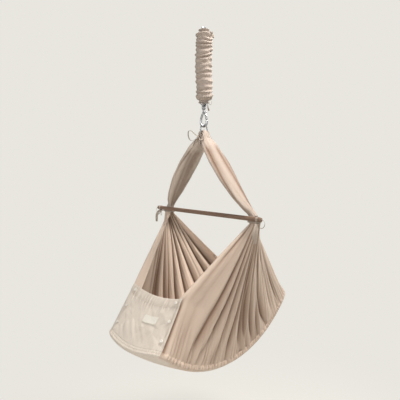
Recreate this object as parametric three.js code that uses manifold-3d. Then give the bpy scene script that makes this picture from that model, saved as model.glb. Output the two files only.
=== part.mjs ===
// Hanging baby cradle: a cloth cradle on a snap hook, below a coil spring in a gathered cloth cover.
// Millimetres, +Z up. The origin is the hanging point, the inside top of the upper eye.
// X is the cradle's long axis with the foot end at -X. Y runs along the spreader bar, near end at -Y.

import * as THREE from 'three';
import { mergeVertices } from 'three/addons/utils/BufferGeometryUtils.js';
import Module from 'manifold-3d';

const wasm = await Module();
wasm.setup();

// Clearances and cutters
const seatGap = 0.3; // between two pieces that rest on or touch each other
const runningGap = 0.4; // round a pin or a turning piece
const clothGap = 0.6; // between two layers of cloth, and under a snap
const overrun = 5; // how far a cutter passes the face that it cuts

// Facets of round shapes
const wireSides = 8;
const loopSteps = 18;
const roundSides = 12;

// Eyes at both ends of the spring
const eyeWire = 5;
const eyeInner = 16; // clear width of an eye
const eyeShank = 12; // from the eye down to its head
const headLength = 14;
const headSteps = 4; // levels of the head's tapered side

// Extension spring
const springLength = 222; // over both drawn-in ends
const springDiameter = 40; // over the wire
const springEndDiameter = 19;
const springWire = 4;
const springPitch = 8;
const springTaper = 34; // length of each drawn-in end
const springSides = 5; // facets round the wire
const curlSteps = 8; // straight pieces in one curl

// Gathered cloth cover of the spring
const coverDiameter = 62;
const coverInner = 48;
const coverMouth = 22.8; // inside width at the drawstrings
const coverAboveSpring = 14; // frill that stands above the spring's end
const coverBelowSpring = 10;
const coverFrill = 10; // from the drawstring to the edge of the frill
const coverChannel = 6; // plain stretch that the drawstring lies on
const coverWall = 3;
const coverFolds = 14;
const coverFoldDepth = 3.4;
const coverFoldSway = 2; // how far the folds wander up and down on their way round, in radians
const coverFoldTwist = 1.3;
const coverFoldDrift = 9;

// Ribbons
const ribbonWidth = 7;
const ribbonThick = 1.4;
const knotSize = 9;
const knotSeatShare = 0.35; // of the knot's size, from its ribbon to its middle
const bowLoopShares = [0, 0.55, 1, 0.75, 0.3, 0]; // reach of a bow's loop along its way, of its length
const bowLoopOffShares = [0, 0.8, 1, 1, 0.6, 0]; // how far the loop stands off there
const bowLoopDropShares = [-0.1, -0.18, 0.4, 0.9, 0.3, 0.1]; // and how far it hangs, of its drop
const bowTailShares = [0, 0.16, 0.3]; // reach of a bow's tail, of its length
const bowTailOffShares = [0, 1, 1.4];
const bowTailDropShares = [0, 0.4, 1]; // of its length
const coverBowLoop = 19;
const coverTopTail = 15;
const coverTopBowDrop = 8;
const coverTopBowOff = 9;
const coverTopBowTurn = 0.7; // round the hanging line, in radians from the near side
const coverBottomTail = 34;
const coverBottomBowDrop = 14;
const coverBottomBowOff = 4;
const coverBottomBowTurn = 1.95;
const apexBowLoop = 24;
const apexBowTail = 26;
const apexBowDrop = 18;
const apexBowOff = 9;
const barBowLoop = 17;
const barBowTail = 34;
const barBowDrop = 16;
const barBowOff = 3;

// Snap hook
const hookLength = 80;
const hookWire = 8;
const hookEyeInner = 9;
const hookEyeWire = 5.5;
const hookBendRadius = 14; // to the middle of the wire
const hookSpineReach = 17; // the spine starts to draw in this far above the bend's centre
const hookSpineShares = [0.28, 0.82, 0.98]; // its reach sideways there and on both sides of it, of the bend's
const hookWaistShare = 0.35; // how far down the neck the first of them lies
const hookThinSteps = 4; // points of its way over which the wire thickens below the eye
const tongueThick = 4.4;
const tongueRadius = 3.4;
const hingeReach = 6; // sideways from the hook's middle to the gate's rivet
const hingeDrop = 7; // below the hook's eye
const noseReach = 7; // nose above the bend's centre
const noseGap = 1.2; // between the gate's end and the nose
const gateDiameter = 7.4;
const gateCheek = 1.5;
const gateCheekRadius = 3.7;
const gateArmWidth = 5.2;
const gateBore = 4.4;
const gateBoreDepth = 12;
const rivetDiameter = 2.6;
const rivetHead = 4.6;
const rivetHeadThick = 1;
const gateSpringDiameter = 3.8;
const gateSpringWire = 0.7;
const gateSpringCurls = 5;
const gateSpringSteps = 6;
const gateSpringSides = 4;

// Hanging ring
const ringOuter = 38;
const ringWire = 5;

// Spreader bar
const barDrop = 640; // hanging point to the bar's axis
const barLength = 500;
const barDiameter = 15;
const barChamfer = 1.5;

// Cloth straps between the ring and the bar
const bunchHeight = 11; // of the cloth that lies on the ring
const bunchShare = 0.93; // of the ring's inside that the bunch fills
const tiedWidth = 34; // of each strap where the ribbon ties them together
const tiedThick = 19;
const tieDrop = 14; // below the middle of the ring's wire
const crotchDrop = 51; // below the top of the cloth on the ring
const crotchReach = 40; // strap's middle to the hanging line there
const strapWidth = 84;
const strapThick = 34;
const strapFolds = 7;
const strapFoldShare = 0.09;
const strapFoldStart = 1; // turn of the first fold, in radians
const strapColumns = 28;
const strapDownShares = [0, 0.2, 0.45, 0.7, 0.87]; // places from the crotch to the bar
const strapAsideShares = [0, 0.02, 0.12, 0.32, 0.62]; // how far it has moved towards the neck there
const strapWidthShares = [0.81, 1.12, 1, 0.86, 0.55]; // of its width
const strapThickShares = [1.53, 0.92, 1, 1, 1.05]; // of its thickness
const strapEndLean = 0.35; // share of the turn to straight down at the last place
const openingWidthShare = 0.6; // between the ribbon and the crotch, of the way from tied to open
const openingThickShare = 0.45;

// Neck: the cloth gathered beside the bar
const neckInset = 43; // middle of the neck to the bar's end
const neckReach = barLength / 2 - neckInset; // and to the middle of the bar
const neckLong = 46; // along the bar
const neckThick = 26;
const neckLength = 20; // straight stretch below the bar's axis
const neckWrap = 1.44; // how far the cloth goes round the neck, in half turns

// Cradle cloth
const clothThickness = 3;
const baseArcRadius = 448; // of the underside, seen from the side
const baseArcDrop = 64; // arc's centre below the bar's axis
const baseLength = 784; // along the arc
const baseWidth = 276;
const baseCorner = 45;
const baseShift = 22; // the middle of the base lies this far towards the head
const sagMiddle = 6;
const sagEnds = 29;
const boxingHeight = 20;
const boxingBulge = 2.5;
const mattressThick = 30;
const mattressInset = 6;
const mattressEdge = 9;
const mattressCrownShare = 0.12; // of its thickness, risen in the middle
const mattressLowShare = 0.6; // of its edge: height of the lower rounding
const mattressTopInsetShares = [0.35, 1.4]; // of its edge: inset of the upper rounding
const mattressTopDropShare = 0.3;
const mattressClear = 1.5; // over the floor, which sags between the grid's corners
const baseColumns = 6; // squares across the base
const cornerRows = 3; // and along it, round a corner and beside a side
const sideRows = 12;
const sameStop = 0.001; // two places on the rim that are nearer than this are one

// Side panels
const pleatCount = 12;
const pleatDepth = 8;
const pleatFadeRate = 4; // a pleat dies out over the last quarter of its way down
const pleatRiseRate = 5; // the first fifth of the pleats is shallower
const broadFolds = 3;
const broadFoldDepth = 13;
const smoothFront = 150; // unpleated stretch of the lower edge behind the foot corner
const pullReach = 190; // how far along the side the flap's hem draws the cloth in
const broadStretch = 96; // of the lower edge, ahead of the back hem
const broadColumns = 8; // of the panel's grid in that stretch
const kinkShare = 0.645; // of the way from the neck to the rim, where the flap's hem draws it in
const headShare = 0.62; // of the way from the neck to the rim, at the head panel's top edge
// Rows of a side panel on the way down to the rim. The neck's are below 0.
const panelRowShares = [-1, -0.05, 0.1, 0.25, 0.42, kinkShare, 0.84, 1];

// Foot flap
const flapTopHalf = 117; // half its width at the hem
const flapTopReach = 220; // hem to the hanging line, towards the foot
const flapTopDrop = 234; // hem's ends below the bar's axis
const flapHemSag = 15;
const flapHemBelly = 8;
const flapHem = 26; // depth of the hem
const hemThick = 5.2;
const flapPuckers = 9;
const flapPuckerDepth = 2.2;
const puckerColumns = 3; // of the flap's grid in one pucker
const elasticWidth = 12;
const elasticThick = 1;
const tunnelWidth = 15;
const tunnelThick = 1.8;
const farOverlap = 42; // of the flap over the far side panel at the hem
const nearOverlap = 22;
const labelWidth = 56;
const labelHeight = 21;
const labelThick = 0.8;
const labelColumns = 4;
const labelRows = 2;
const snapDiameter = 12;
const snapCapThick = 2;
const snapStudThick = 1.6;
const nearSnapInset = 11; // from the flap's side edge
const farSnapInset = 25;
const snapRiseShares = [0.18, 0.55, 0.91];
const snapCapTopShare = 0.7; // of its diameter
const flapRowShares = [0.25, 0.5, 0.7];
const puckerStartShare = 0.5; // of the flap's height
const labelRiseShare = 0.53;
const labelAsideShare = -0.3; // of half the flap's width, towards the near side

// Head panel
const headHemSag = 16;
const headOverlap = 12;
const headPanelGap = 2.1; // to the side panels that it's sewn inside
const headRowShares = [0.02, 0.35, 0.7, 1];

// Colours and finishes
const finishes = {
  cloth: { color: 0xcbb9a8, roughness: 0.95, metalness: 0 },
  flapCloth: { color: 0xd6cabd, roughness: 0.95, metalness: 0 },
  ribbon: { color: 0xa39585, roughness: 0.9, metalness: 0 },
  label: { color: 0xe9e2d3, roughness: 0.85, metalness: 0 },
  mattress: { color: 0xe6dfd2, roughness: 0.95, metalness: 0 },
  elastic: { color: 0xeeeeea, roughness: 0.9, metalness: 0 },
  chrome: { color: 0xb9bcc0, roughness: 0.18, metalness: 1 },
  springSteel: { color: 0x8d9094, roughness: 0.35, metalness: 1 },
  walnut: { color: 0x6e5342, roughness: 0.6, metalness: 0 },
  snap: { color: 0xe7e1d6, roughness: 0.4, metalness: 0 },
};

const part = new THREE.Group();

// General shapes

const at = (x, y, z) => new THREE.Vector3(x, y, z);
const mix = (a, b, share) => a + (b - a) * share;
const between = (share) => Math.min(1, Math.max(0, share));
const smooth = (share) => between(share) ** 2 * (3 - 2 * between(share));

// A closed body from its corners and faces, turned inside out if its volume comes out negative.
function closedBody(corners, faces) {
  let volume = 0;
  for (const [a, b, c] of faces) {
    volume += corners[a].dot(corners[b].clone().cross(corners[c]));
  }
  const geometry = new THREE.BufferGeometry();
  geometry.setAttribute(
    'position',
    new THREE.Float32BufferAttribute(corners.flatMap((corner) => corner.toArray()), 3),
  );
  geometry.setIndex(faces.flatMap(([a, b, c]) => (volume < 0 ? [a, c, b] : [a, b, c])));
  return geometry;
}

// A body through a row of rings with equal counts of corners. Its ends get flat caps.
function loft(rings) {
  const count = rings[0].length;
  const corners = rings.flat();
  const faces = [];
  for (let row = 0; row + 1 < rings.length; row += 1) {
    for (let i = 0; i < count; i += 1) {
      const a = row * count + i;
      const b = row * count + ((i + 1) % count);
      faces.push([a, b, b + count], [a, b + count, a + count]);
    }
  }
  for (const start of [0, corners.length - count]) {
    const cap = rings[start === 0 ? 0 : rings.length - 1];
    const middle = cap.reduce((sum, corner) => sum.add(corner), at(0, 0, 0)).divideScalar(count);
    corners.push(middle);
    for (let i = 0; i < count; i += 1) {
      const edge = [start + ((i + 1) % count), start + i];
      faces.push(start === 0 ? [corners.length - 1, ...edge] : [corners.length - 1, ...edge.reverse()]);
    }
  }
  return closedBody(corners, faces);
}

// A sheet between two surfaces over the same grid of columns and rows.
// A round sheet closes on itself along its columns, and any other gets side edges.
function sheet(columns, rows, outer, inner, round = false) {
  const width = columns.length;
  const corners = [];
  for (const surface of [outer, inner]) {
    for (const row of rows) {
      for (const column of columns) {
        corners.push(surface(column, row));
      }
    }
  }
  const layer = width * rows.length;
  const number = (side, column, row) => side * layer + row * width + (column % width);
  const faces = [];
  const quad = (a, b, c, d) => faces.push([a, b, c], [a, c, d]);
  const last = round ? width : width - 1;
  for (let row = 0; row + 1 < rows.length; row += 1) {
    for (let column = 0; column < last; column += 1) {
      const next = column + 1;
      const low = row + 1;
      quad(number(0, column, row), number(0, next, row), number(0, next, low), number(0, column, low));
      quad(number(1, column, low), number(1, next, low), number(1, next, row), number(1, column, row));
    }
  }
  for (let column = 0; column < last; column += 1) {
    const next = column + 1;
    const top = rows.length - 1;
    quad(number(1, column, 0), number(1, next, 0), number(0, next, 0), number(0, column, 0));
    quad(number(0, column, top), number(0, next, top), number(1, next, top), number(1, column, top));
  }
  if (!round) {
    for (let row = 0; row + 1 < rows.length; row += 1) {
      const low = row + 1;
      quad(number(0, 0, row), number(0, 0, low), number(1, 0, low), number(1, 0, row));
      quad(number(1, last, row), number(1, last, low), number(0, last, low), number(0, last, row));
    }
  }
  return closedBody(corners, faces);
}

const steps = (count) => Array.from({ length: count + 1 }, (_, i) => i / count);

// A round wire along points, with frames carried from point to point.
function wire(points, radius, sides) {
  let up = null;
  const rings = points.map((point, i) => {
    const ahead = points[Math.min(i + 1, points.length - 1)];
    const behind = points[Math.max(i - 1, 0)];
    const along = ahead.clone().sub(behind).normalize();
    if (up === null) {
      up = Math.abs(along.z) < Math.abs(along.x) + Math.abs(along.y) ? at(0, 0, 1) : at(1, 0, 0);
    }
    up = up.clone().addScaledVector(along, -up.dot(along)).normalize();
    const side = along.clone().cross(up);
    const size = typeof radius === 'function' ? radius(i / (points.length - 1)) : radius;
    return Array.from({ length: sides }, (_, k) => {
      const angle = (2 * Math.PI * k) / sides;
      return point
        .clone()
        .addScaledVector(up, size * Math.cos(angle))
        .addScaledVector(side, size * Math.sin(angle));
    });
  });
  return loft(rings);
}

// A flat ribbon along a smooth curve through points. Its flat side faces the given way.
function ribbon(points, facing, count, width = ribbonWidth) {
  const curve = new THREE.CatmullRomCurve3(points);
  const rings = steps(count).map((share) => {
    const middle = curve.getPoint(share);
    const along = curve.getTangent(share);
    const flat = facing.clone().addScaledVector(along, -facing.dot(along)).normalize();
    const side = along.clone().cross(flat);
    return [[-1, -1], [1, -1], [1, 1], [-1, 1]].map(([a, b]) =>
      middle
        .clone()
        .addScaledVector(side, (a * width) / 2)
        .addScaledVector(flat, (b * ribbonThick) / 2),
    );
  });
  return loft(rings);
}

function solidOf(geometry) {
  const bare = geometry.clone();
  bare.deleteAttribute('normal');
  bare.deleteAttribute('uv');
  const merged = mergeVertices(bare);
  return new wasm.Manifold(
    new wasm.Mesh({
      numProp: 3,
      vertProperties: new Float32Array(merged.attributes.position.array),
      triVerts: new Uint32Array(merged.index.array),
    }),
  );
}

function geometryOf(solid) {
  const mesh = solid.getMesh();
  const geometry = new THREE.BufferGeometry();
  geometry.setAttribute('position', new THREE.Float32BufferAttribute(mesh.vertProperties, 3));
  geometry.setIndex(Array.from(mesh.triVerts));
  return geometry;
}

const joined = (...shapes) => geometryOf(shapes.map(solidOf).reduce((whole, piece) => whole.add(piece)));
const cut = (shape, ...tools) => geometryOf(
  tools.map(solidOf).reduce((rest, tool) => rest.subtract(tool), solidOf(shape)),
);
const moved = (geometry, x, y, z) => geometry.translate(x, y, z);

function add(name, geometry, finish) {
  const flat = geometry.index ? geometry.toNonIndexed() : geometry;
  flat.computeVertexNormals();
  const mesh = new THREE.Mesh(flat, new THREE.MeshStandardMaterial(finishes[finish]));
  mesh.name = name;
  part.add(mesh);
  return mesh;
}

// Stations down the hanging line

const eyeRadius = (eyeInner + eyeWire) / 2; // to the middle of the wire
const upperEyeZ = -eyeInner / 2;
const springTop = upperEyeZ - eyeInner / 2 - eyeWire;
const springBottom = springTop - springLength;
const lowerEyeZ = springBottom - eyeWire - eyeInner / 2;
const lowerEyeSeat = lowerEyeZ - eyeInner / 2; // the hook's eye hangs here
const hookTop = lowerEyeSeat + seatGap + hookEyeWire;
const hookEyeZ = hookTop - hookEyeWire - hookEyeInner / 2;
const hookBottom = hookTop - hookLength;
const hookBendZ = hookBottom + hookWire / 2 + hookBendRadius;
const hookSeat = hookBottom + hookWire; // the ring hangs here
const ringRadius = (ringOuter - ringWire) / 2;
const ringZ = hookSeat + seatGap - (ringOuter / 2 - ringWire);
const ringSeat = ringZ - ringRadius + ringWire / 2; // the cloth lies here
const clothTop = ringSeat + seatGap + bunchHeight;

// Spring and its eyes

// Radius of the spring to the middle of its wire, by the depth below its top.
function springRadius(depth) {
  const fromEnd = Math.min(depth, springLength - depth);
  const share = smooth(fromEnd / springTaper);
  return mix(springEndDiameter, springDiameter, share) / 2 - springWire / 2;
}

// The least gap between neighbouring curls, measured on points of the path.
function curlGap(points, stepsPerCurl, thickness) {
  let least = Infinity;
  for (let i = 0; i < points.length; i += 1) {
    for (let j = i + stepsPerCurl - 1; j < Math.min(points.length, i + stepsPerCurl + 2); j += 1) {
      least = Math.min(least, points[i].distanceTo(points[j]) - thickness);
    }
  }
  return least;
}

function springPath(radiusAt, length, curls, stepsPerCurl, thickness) {
  const count = curls * stepsPerCurl;
  return Array.from({ length: count + 1 }, (_, i) => {
    const depth = mix(thickness / 2, length - thickness / 2, i / count);
    const angle = (2 * Math.PI * i) / stepsPerCurl;
    const radius = radiusAt(depth);
    return at(radius * Math.cos(angle), radius * Math.sin(angle), -depth);
  });
}

// An eye with its shank and the tapered head that seats inside the spring's drawn-in end.
function eyeWithHead() {
  const loop = new THREE.TorusGeometry(eyeRadius, eyeWire / 2, wireSides - 2, loopSteps);
  loop.rotateX(Math.PI / 2);
  const shankTop = -eyeInner / 2 - eyeWire / 2;
  const shank = new THREE.CylinderGeometry(eyeWire / 2, eyeWire / 2, eyeShank, wireSides);
  shank.rotateX(Math.PI / 2);
  moved(shank, 0, 0, shankTop - eyeShank / 2);
  const headTop = shankTop - eyeShank + seatGap;
  const springEnd = -eyeInner / 2 - eyeWire;
  const side = steps(headSteps).map((share) => {
    const level = headTop - headLength * (1 - share);
    const inside = springRadius(springEnd - level) * Math.cos(Math.PI / curlSteps);
    return new THREE.Vector2(inside - springWire / 2 - runningGap, level);
  });
  const profile = [new THREE.Vector2(0, headTop - headLength), ...side, new THREE.Vector2(0, headTop)];
  const head = new THREE.LatheGeometry(profile, roundSides);
  head.rotateX(Math.PI / 2);
  return joined(loop, shank, head);
}

function addSpring() {
  const upper = add('upper_eye', eyeWithHead(), 'chrome');
  upper.position.set(0, 0, upperEyeZ);
  const lower = add('lower_eye', eyeWithHead(), 'chrome');
  lower.position.set(0, 0, lowerEyeZ);
  lower.rotation.set(Math.PI, 0, 0);
  const curls = Math.round((springLength - springWire) / springPitch);
  const path = springPath(springRadius, springLength, curls, curlSteps, springWire);
  console.log('least gap of the spring', curlGap(path, curlSteps, springWire).toFixed(2));
  const spring = add('extension_spring', wire(path, springWire / 2, springSides), 'springSteel');
  spring.position.set(0, 0, springTop);
}

// Gathered cover of the spring

const coverTop = springTop + coverAboveSpring;
const coverBottom = springBottom - coverBelowSpring;
const coverLength = coverTop - coverBottom;

// Radius of the cover's outside: drawn in at both drawstrings, full between, with scrunched folds.
function coverRadius(share, angle) {
  const fromEnd = Math.min(share, 1 - share) * coverLength;
  const mouth = coverMouth / 2 + coverWall;
  const full = coverDiameter / 2 - coverFoldDepth;
  const pastChannel = fromEnd - coverFrill - coverChannel / 2;
  const drawn = mix(mouth, full, smooth(pastChannel / (coverFrill * 2)));
  const flare = coverWall * between(1 - fromEnd / (coverFrill - coverChannel / 2));
  const sway = coverFoldSway * Math.sin(angle);
  const twist = coverFoldTwist * Math.sin(2 * angle + coverFoldDrift * share);
  const fold = coverFoldDepth * Math.sin(2 * Math.PI * coverFolds * share + sway + twist);
  return drawn + flare + fold * smooth(pastChannel / coverFrill);
}

function coverPoint(radius, share, angle) {
  return at(radius * Math.cos(angle), radius * Math.sin(angle), mix(coverTop, coverBottom, share));
}

function addCover() {
  const columns = steps(roundSides).slice(0, -1).map((share) => 2 * Math.PI * share);
  const plainShares = [0, coverFrill - coverChannel / 2, coverFrill + coverChannel / 2]
    .map((fromEnd) => fromEnd / coverLength);
  const folded = steps(coverFolds * 2 - 1)
    .map((share) => mix(plainShares[2], 1 - plainShares[2], share));
  const upperRows = plainShares.slice(0, 2);
  const lowerRows = upperRows.map((share) => 1 - share).reverse();
  const rows = [...upperRows, ...folded, ...lowerRows];
  const inside = (angle, share) => {
    const fromEnd = Math.min(share, 1 - share) * coverLength;
    const mouth = coverMouth / 2 + coverWall * between(1 - fromEnd / coverFrill);
    const pastChannel = fromEnd - coverFrill - coverChannel / 2;
    const radius = mix(mouth, coverInner / 2, smooth(pastChannel / (coverFrill * 2)));
    return coverPoint(radius, share, angle);
  };
  const outside = (angle, share) => coverPoint(coverRadius(share, angle), share, angle);
  add('spring_cover', sheet(columns, rows, outside, inside, true), 'cloth');
}

// A ring of ribbon round an oval, in the plane across Z.
function band(reachX, reachY, height) {
  const columns = steps(roundSides + 2).slice(0, -1).map((share) => 2 * Math.PI * share);
  const wall = (extra) => (angle, level) =>
    at((reachX + extra) * Math.cos(angle), (reachY + extra) * Math.sin(angle), level);
  return sheet(columns, [height / 2, -height / 2], wall(ribbonThick), wall(0), true);
}

// A bow: knot, two loops and two tails. It hangs from its knot, spread along X, and stands off towards -Y.
function bow(loopLength, tailLength, drop, off) {
  const pieces = [new THREE.SphereGeometry(knotSize / 2, wireSides - 2, wireSides / 2)];
  for (const side of [-1, 1]) {
    const loop = bowLoopShares.map((share, i) =>
      at(side * loopLength * share, -off * bowLoopOffShares[i], -drop * bowLoopDropShares[i]),
    );
    const tail = bowTailShares.map((share, i) =>
      at(side * tailLength * share, -off * bowTailOffShares[i], -tailLength * bowTailDropShares[i]),
    );
    pieces.push(ribbonOnEdge(loop, at(0, 1, 0), wireSides - 1), ribbonOnEdge(tail, at(0, 1, 0), 2));
  }
  return joined(...pieces);
}

// A ribbon whose width runs across the curve's plane, as in a bow's loop.
function ribbonOnEdge(points, across, count) {
  const curve = new THREE.CatmullRomCurve3(points);
  const rings = steps(count).map((share) => {
    const middle = curve.getPoint(share);
    const along = curve.getTangent(share);
    const side = across.clone().addScaledVector(along, -across.dot(along)).normalize();
    const flat = along.clone().cross(side);
    return [[-1, -1], [1, -1], [1, 1], [-1, 1]].map(([a, b]) =>
      middle
        .clone()
        .addScaledVector(side, (a * ribbonWidth) / 2)
        .addScaledVector(flat, (b * ribbonThick) / 2),
    );
  });
  return loft(rings);
}

// Drawstrings of the cover, tied in bows outside its mouths.
function addCoverTies() {
  const reach = coverMouth / 2 + coverWall + clothGap;
  const bows = [
    {
      name: 'cover_top_tie',
      level: coverTop - coverFrill,
      shape: bow(coverBowLoop, coverTopTail, coverTopBowDrop, coverTopBowOff),
      turn: coverTopBowTurn,
    },
    {
      name: 'cover_bottom_tie',
      level: coverBottom + coverFrill,
      shape: bow(coverBowLoop, coverBottomTail, coverBottomBowDrop, coverBottomBowOff),
      turn: coverBottomBowTurn,
    },
  ];
  for (const { name, level, shape, turn } of bows) {
    moved(shape, 0, -reach - ribbonThick - knotSize * knotSeatShare, 0);
    const tie = add(name, joined(band(reach, reach, coverChannel - clothGap * 2), shape), 'ribbon');
    tie.position.set(0, 0, level);
    tie.rotation.set(0, 0, turn);
  }
}

// Snap hook, its spine on the far side (+Y) and its gate on the near side (-Y)

const hingeZ = hookEyeZ - hookEyeInner / 2 - hookEyeWire - hingeDrop;
const noseZ = hookBendZ + noseReach;

function hookBody() {
  const reach = (hookEyeInner + hookEyeWire) / 2;
  const eye = new THREE.TorusGeometry(reach, hookEyeWire / 2, wireSides, loopSteps);
  eye.rotateY(Math.PI / 2);
  moved(eye, 0, 0, hookEyeZ);
  const neckZ = hookEyeZ - hookEyeInner / 2 - hookEyeWire;
  const spineTop = hookBendZ + hookSpineReach;
  const bend = steps(wireSides).map((share) => {
    const angle = -Math.PI * share;
    return at(0, hookBendRadius * Math.cos(angle), hookBendZ + hookBendRadius * Math.sin(angle));
  });
  const path = [
    at(0, 0, neckZ + hookEyeWire / 2),
    at(0, hookBendRadius * hookSpineShares[0], mix(neckZ, spineTop, hookWaistShare)),
    at(0, hookBendRadius * hookSpineShares[1], spineTop),
    at(0, hookBendRadius * hookSpineShares[2], hookBendZ + hookSpineReach / 2),
    ...bend,
    at(0, -hookBendRadius, noseZ),
  ];
  const narrow = hookEyeWire / hookWire;
  const thickness = (share) => (hookWire / 2) * mix(narrow, 1, smooth((share * path.length) / hookThinSteps));
  const body = wire(path, thickness, wireSides);
  const tongue = new THREE.CylinderGeometry(tongueRadius, tongueRadius, tongueThick, roundSides);
  tongue.rotateZ(Math.PI / 2);
  moved(tongue, 0, -hingeReach, hingeZ);
  const root = wire(
    [at(0, 0, neckZ + hookEyeWire / 4), at(0, -hingeReach, hingeZ)],
    tongueThick / 2,
    wireSides,
  );
  return cut(joined(eye, body, tongue, root), moved(rivetHole(), 0, -hingeReach, hingeZ));
}

// A cutter for the rivet's hole, along X.
function rivetHole() {
  const radius = rivetDiameter / 2 + runningGap;
  return new THREE.CylinderGeometry(radius, radius, hookWire * 2, roundSides).rotateZ(Math.PI / 2);
}

// The gate lies from its hinge to the hook's nose. It is built along -Z from the hinge, then leaned.
const gateRun = Math.hypot(hookBendRadius - hingeReach, hingeZ - noseZ);
const gateLean = Math.atan2(hookBendRadius - hingeReach, hingeZ - noseZ);
const cheekMiddle = tongueThick / 2 + runningGap + gateCheek / 2;
const gateTop = tongueRadius + runningGap; // below the hinge

function gateBody() {
  const length = gateRun - gateTop - noseGap;
  const rod = new THREE.CylinderGeometry(gateDiameter / 2, gateDiameter / 2, length, roundSides);
  rod.rotateX(Math.PI / 2);
  moved(rod, 0, 0, -gateTop - length / 2);
  const cheeks = [-1, 1].flatMap((side) => {
    const disc = new THREE.CylinderGeometry(gateCheekRadius, gateCheekRadius, gateCheek, roundSides);
    disc.rotateZ(Math.PI / 2);
    moved(disc, side * cheekMiddle, 0, 0);
    const arm = new THREE.BoxGeometry(gateCheek, gateArmWidth, gateTop + gateCheek);
    moved(arm, side * cheekMiddle, 0, -(gateTop + gateCheek) / 2);
    return [disc, arm];
  });
  const bore = new THREE.CylinderGeometry(gateBore / 2, gateBore / 2, gateBoreDepth + overrun, roundSides);
  bore.rotateX(Math.PI / 2);
  moved(bore, 0, 0, -gateTop - gateBoreDepth / 2 + overrun / 2);
  return cut(joined(rod, ...cheeks), bore, rivetHole());
}

function addHook() {
  add('snap_hook_body', hookBody(), 'chrome');
  const gate = add('snap_hook_gate', gateBody(), 'chrome');
  gate.position.set(0, -hingeReach, hingeZ);
  gate.rotation.set(-gateLean, 0, 0);
  const curlRadius = (gateSpringDiameter - gateSpringWire) / 2;
  const length = gateBoreDepth - 2 * seatGap;
  const path = springPath(() => curlRadius, length, gateSpringCurls, gateSpringSteps, gateSpringWire);
  console.log('least gap of the gate spring', curlGap(path, gateSpringSteps, gateSpringWire).toFixed(2));
  const spring = wire(path, gateSpringWire / 2, gateSpringSides);
  moved(spring, 0, 0, -gateTop - seatGap);
  const gateSpring = add('gate_spring', spring, 'springSteel');
  gateSpring.position.copy(gate.position);
  gateSpring.rotation.copy(gate.rotation);
  const pinLength = 2 * (cheekMiddle + gateCheek / 2 + seatGap);
  const pin = new THREE.CylinderGeometry(rivetDiameter / 2, rivetDiameter / 2, pinLength, roundSides);
  const heads = [-1, 1].map((side) => {
    const head = new THREE.CylinderGeometry(rivetHead / 2, rivetHead / 2, rivetHeadThick, roundSides);
    return moved(head, 0, (side * (pinLength + rivetHeadThick)) / 2, 0);
  });
  const rivet = add('gate_rivet', joined(pin, ...heads), 'chrome');
  rivet.position.copy(gate.position);
  rivet.rotation.set(0, 0, Math.PI / 2);
}

function addRing() {
  const shape = new THREE.TorusGeometry(ringRadius, ringWire / 2, wireSides, loopSteps + wireSides);
  shape.rotateX(Math.PI / 2);
  const ring = add('hanging_ring', shape, 'chrome');
  ring.position.set(0, 0, ringZ);
}

// Straps: the gathered cloth passes through the ring and runs down to both ends of the bar

const barZ = -barDrop;
const neckX = barDiameter / 2 + clothGap + neckThick / 2;
const bunchHalf = ringOuter / 2 - ringWire - seatGap; // of the cloth inside the ring

// The strap's places: reach from the hanging line, level, offset in X, half width, half thickness,
// and the direction it runs in, as an angle below level.
function strapStations() {
  const bunchZ = clothTop - bunchHeight / 2;
  const wireZ = ringSeat - ringWire / 2;
  const bendRadius = bunchZ - wireZ;
  const crotchZ = clothTop - crotchDrop - bunchHeight;
  const run = Math.atan2(crotchZ - barZ, neckReach - crotchReach);
  const onRing = steps(3).map((share) => {
    const angle = (Math.PI / 2) * share;
    return {
      reach: seatGap / 2 + bendRadius * Math.sin(angle),
      level: wireZ + bendRadius * Math.cos(angle),
      x: 0,
      wide: bunchHalf * bunchShare,
      thick: bunchHeight / 2,
      angle,
      onRing: true,
    };
  });
  const down = strapDownShares.map((share, i) => ({
    reach: mix(crotchReach, neckReach, share),
    level: mix(crotchZ, barZ, share),
    x: neckX * strapAsideShares[i],
    wide: (strapWidth / 2) * strapWidthShares[i],
    thick: (strapThick / 2) * strapThickShares[i],
    angle: mix(run, Math.PI / 2, i === strapDownShares.length - 1 ? strapEndLean : 0),
    folded: true,
  }));
  const [tied, tiedLow] = [1, -1].map((end) => ({
    reach: tiedThick / 2 + seatGap / 2,
    level: wireZ - tieDrop + (end * (ribbonWidth + clothGap)) / 2,
    x: 0,
    wide: tiedWidth / 2,
    thick: tiedThick / 2,
    angle: Math.PI / 2,
  }));
  const opening = {
    reach: (tiedLow.reach + crotchReach) / 2,
    level: (tiedLow.level + crotchZ) / 2,
    x: 0,
    wide: mix(tied.wide, down[0].wide, openingWidthShare),
    thick: mix(tied.thick, down[0].thick, openingThickShare),
    angle: run,
    folded: true,
  };
  const neckTopZ = barZ + barDiameter;
  const neck = [neckTopZ, barZ + seatGap / 2].map((level) => ({
    reach: neckReach,
    level,
    x: neckX,
    wide: neckThick / 2,
    thick: neckLong / 2,
    angle: Math.PI / 2,
  }));
  return { tied, tiedLow, all: [...onRing, tied, tiedLow, opening, ...down, ...neck] };
}

// One section of a strap: an oval with lengthwise folds. On the ring its underside is as round as the ring.
function strapSection(station, side) {
  return steps(strapColumns).slice(0, -1).map((share) => {
    const turn = 2 * Math.PI * share;
    const wave = Math.sin(strapFolds * turn + strapFoldStart);
    const fold = station.folded ? 1 + strapFoldShare * wave : 1;
    const across = station.wide * Math.cos(turn) * fold;
    let out = station.thick * Math.sin(turn) * fold;
    if (station.onRing) {
      const rise = (reach) => bunchHalf - Math.sqrt(bunchHalf ** 2 - reach ** 2) - station.thick;
      const edge = rise(station.wide);
      out = turn > Math.PI ? rise(across) : mix(edge, station.thick, Math.sin(turn));
    }
    return at(
      station.x + across,
      side * (station.reach + out * Math.sin(station.angle)),
      station.level + out * Math.cos(station.angle),
    );
  });
}

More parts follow.
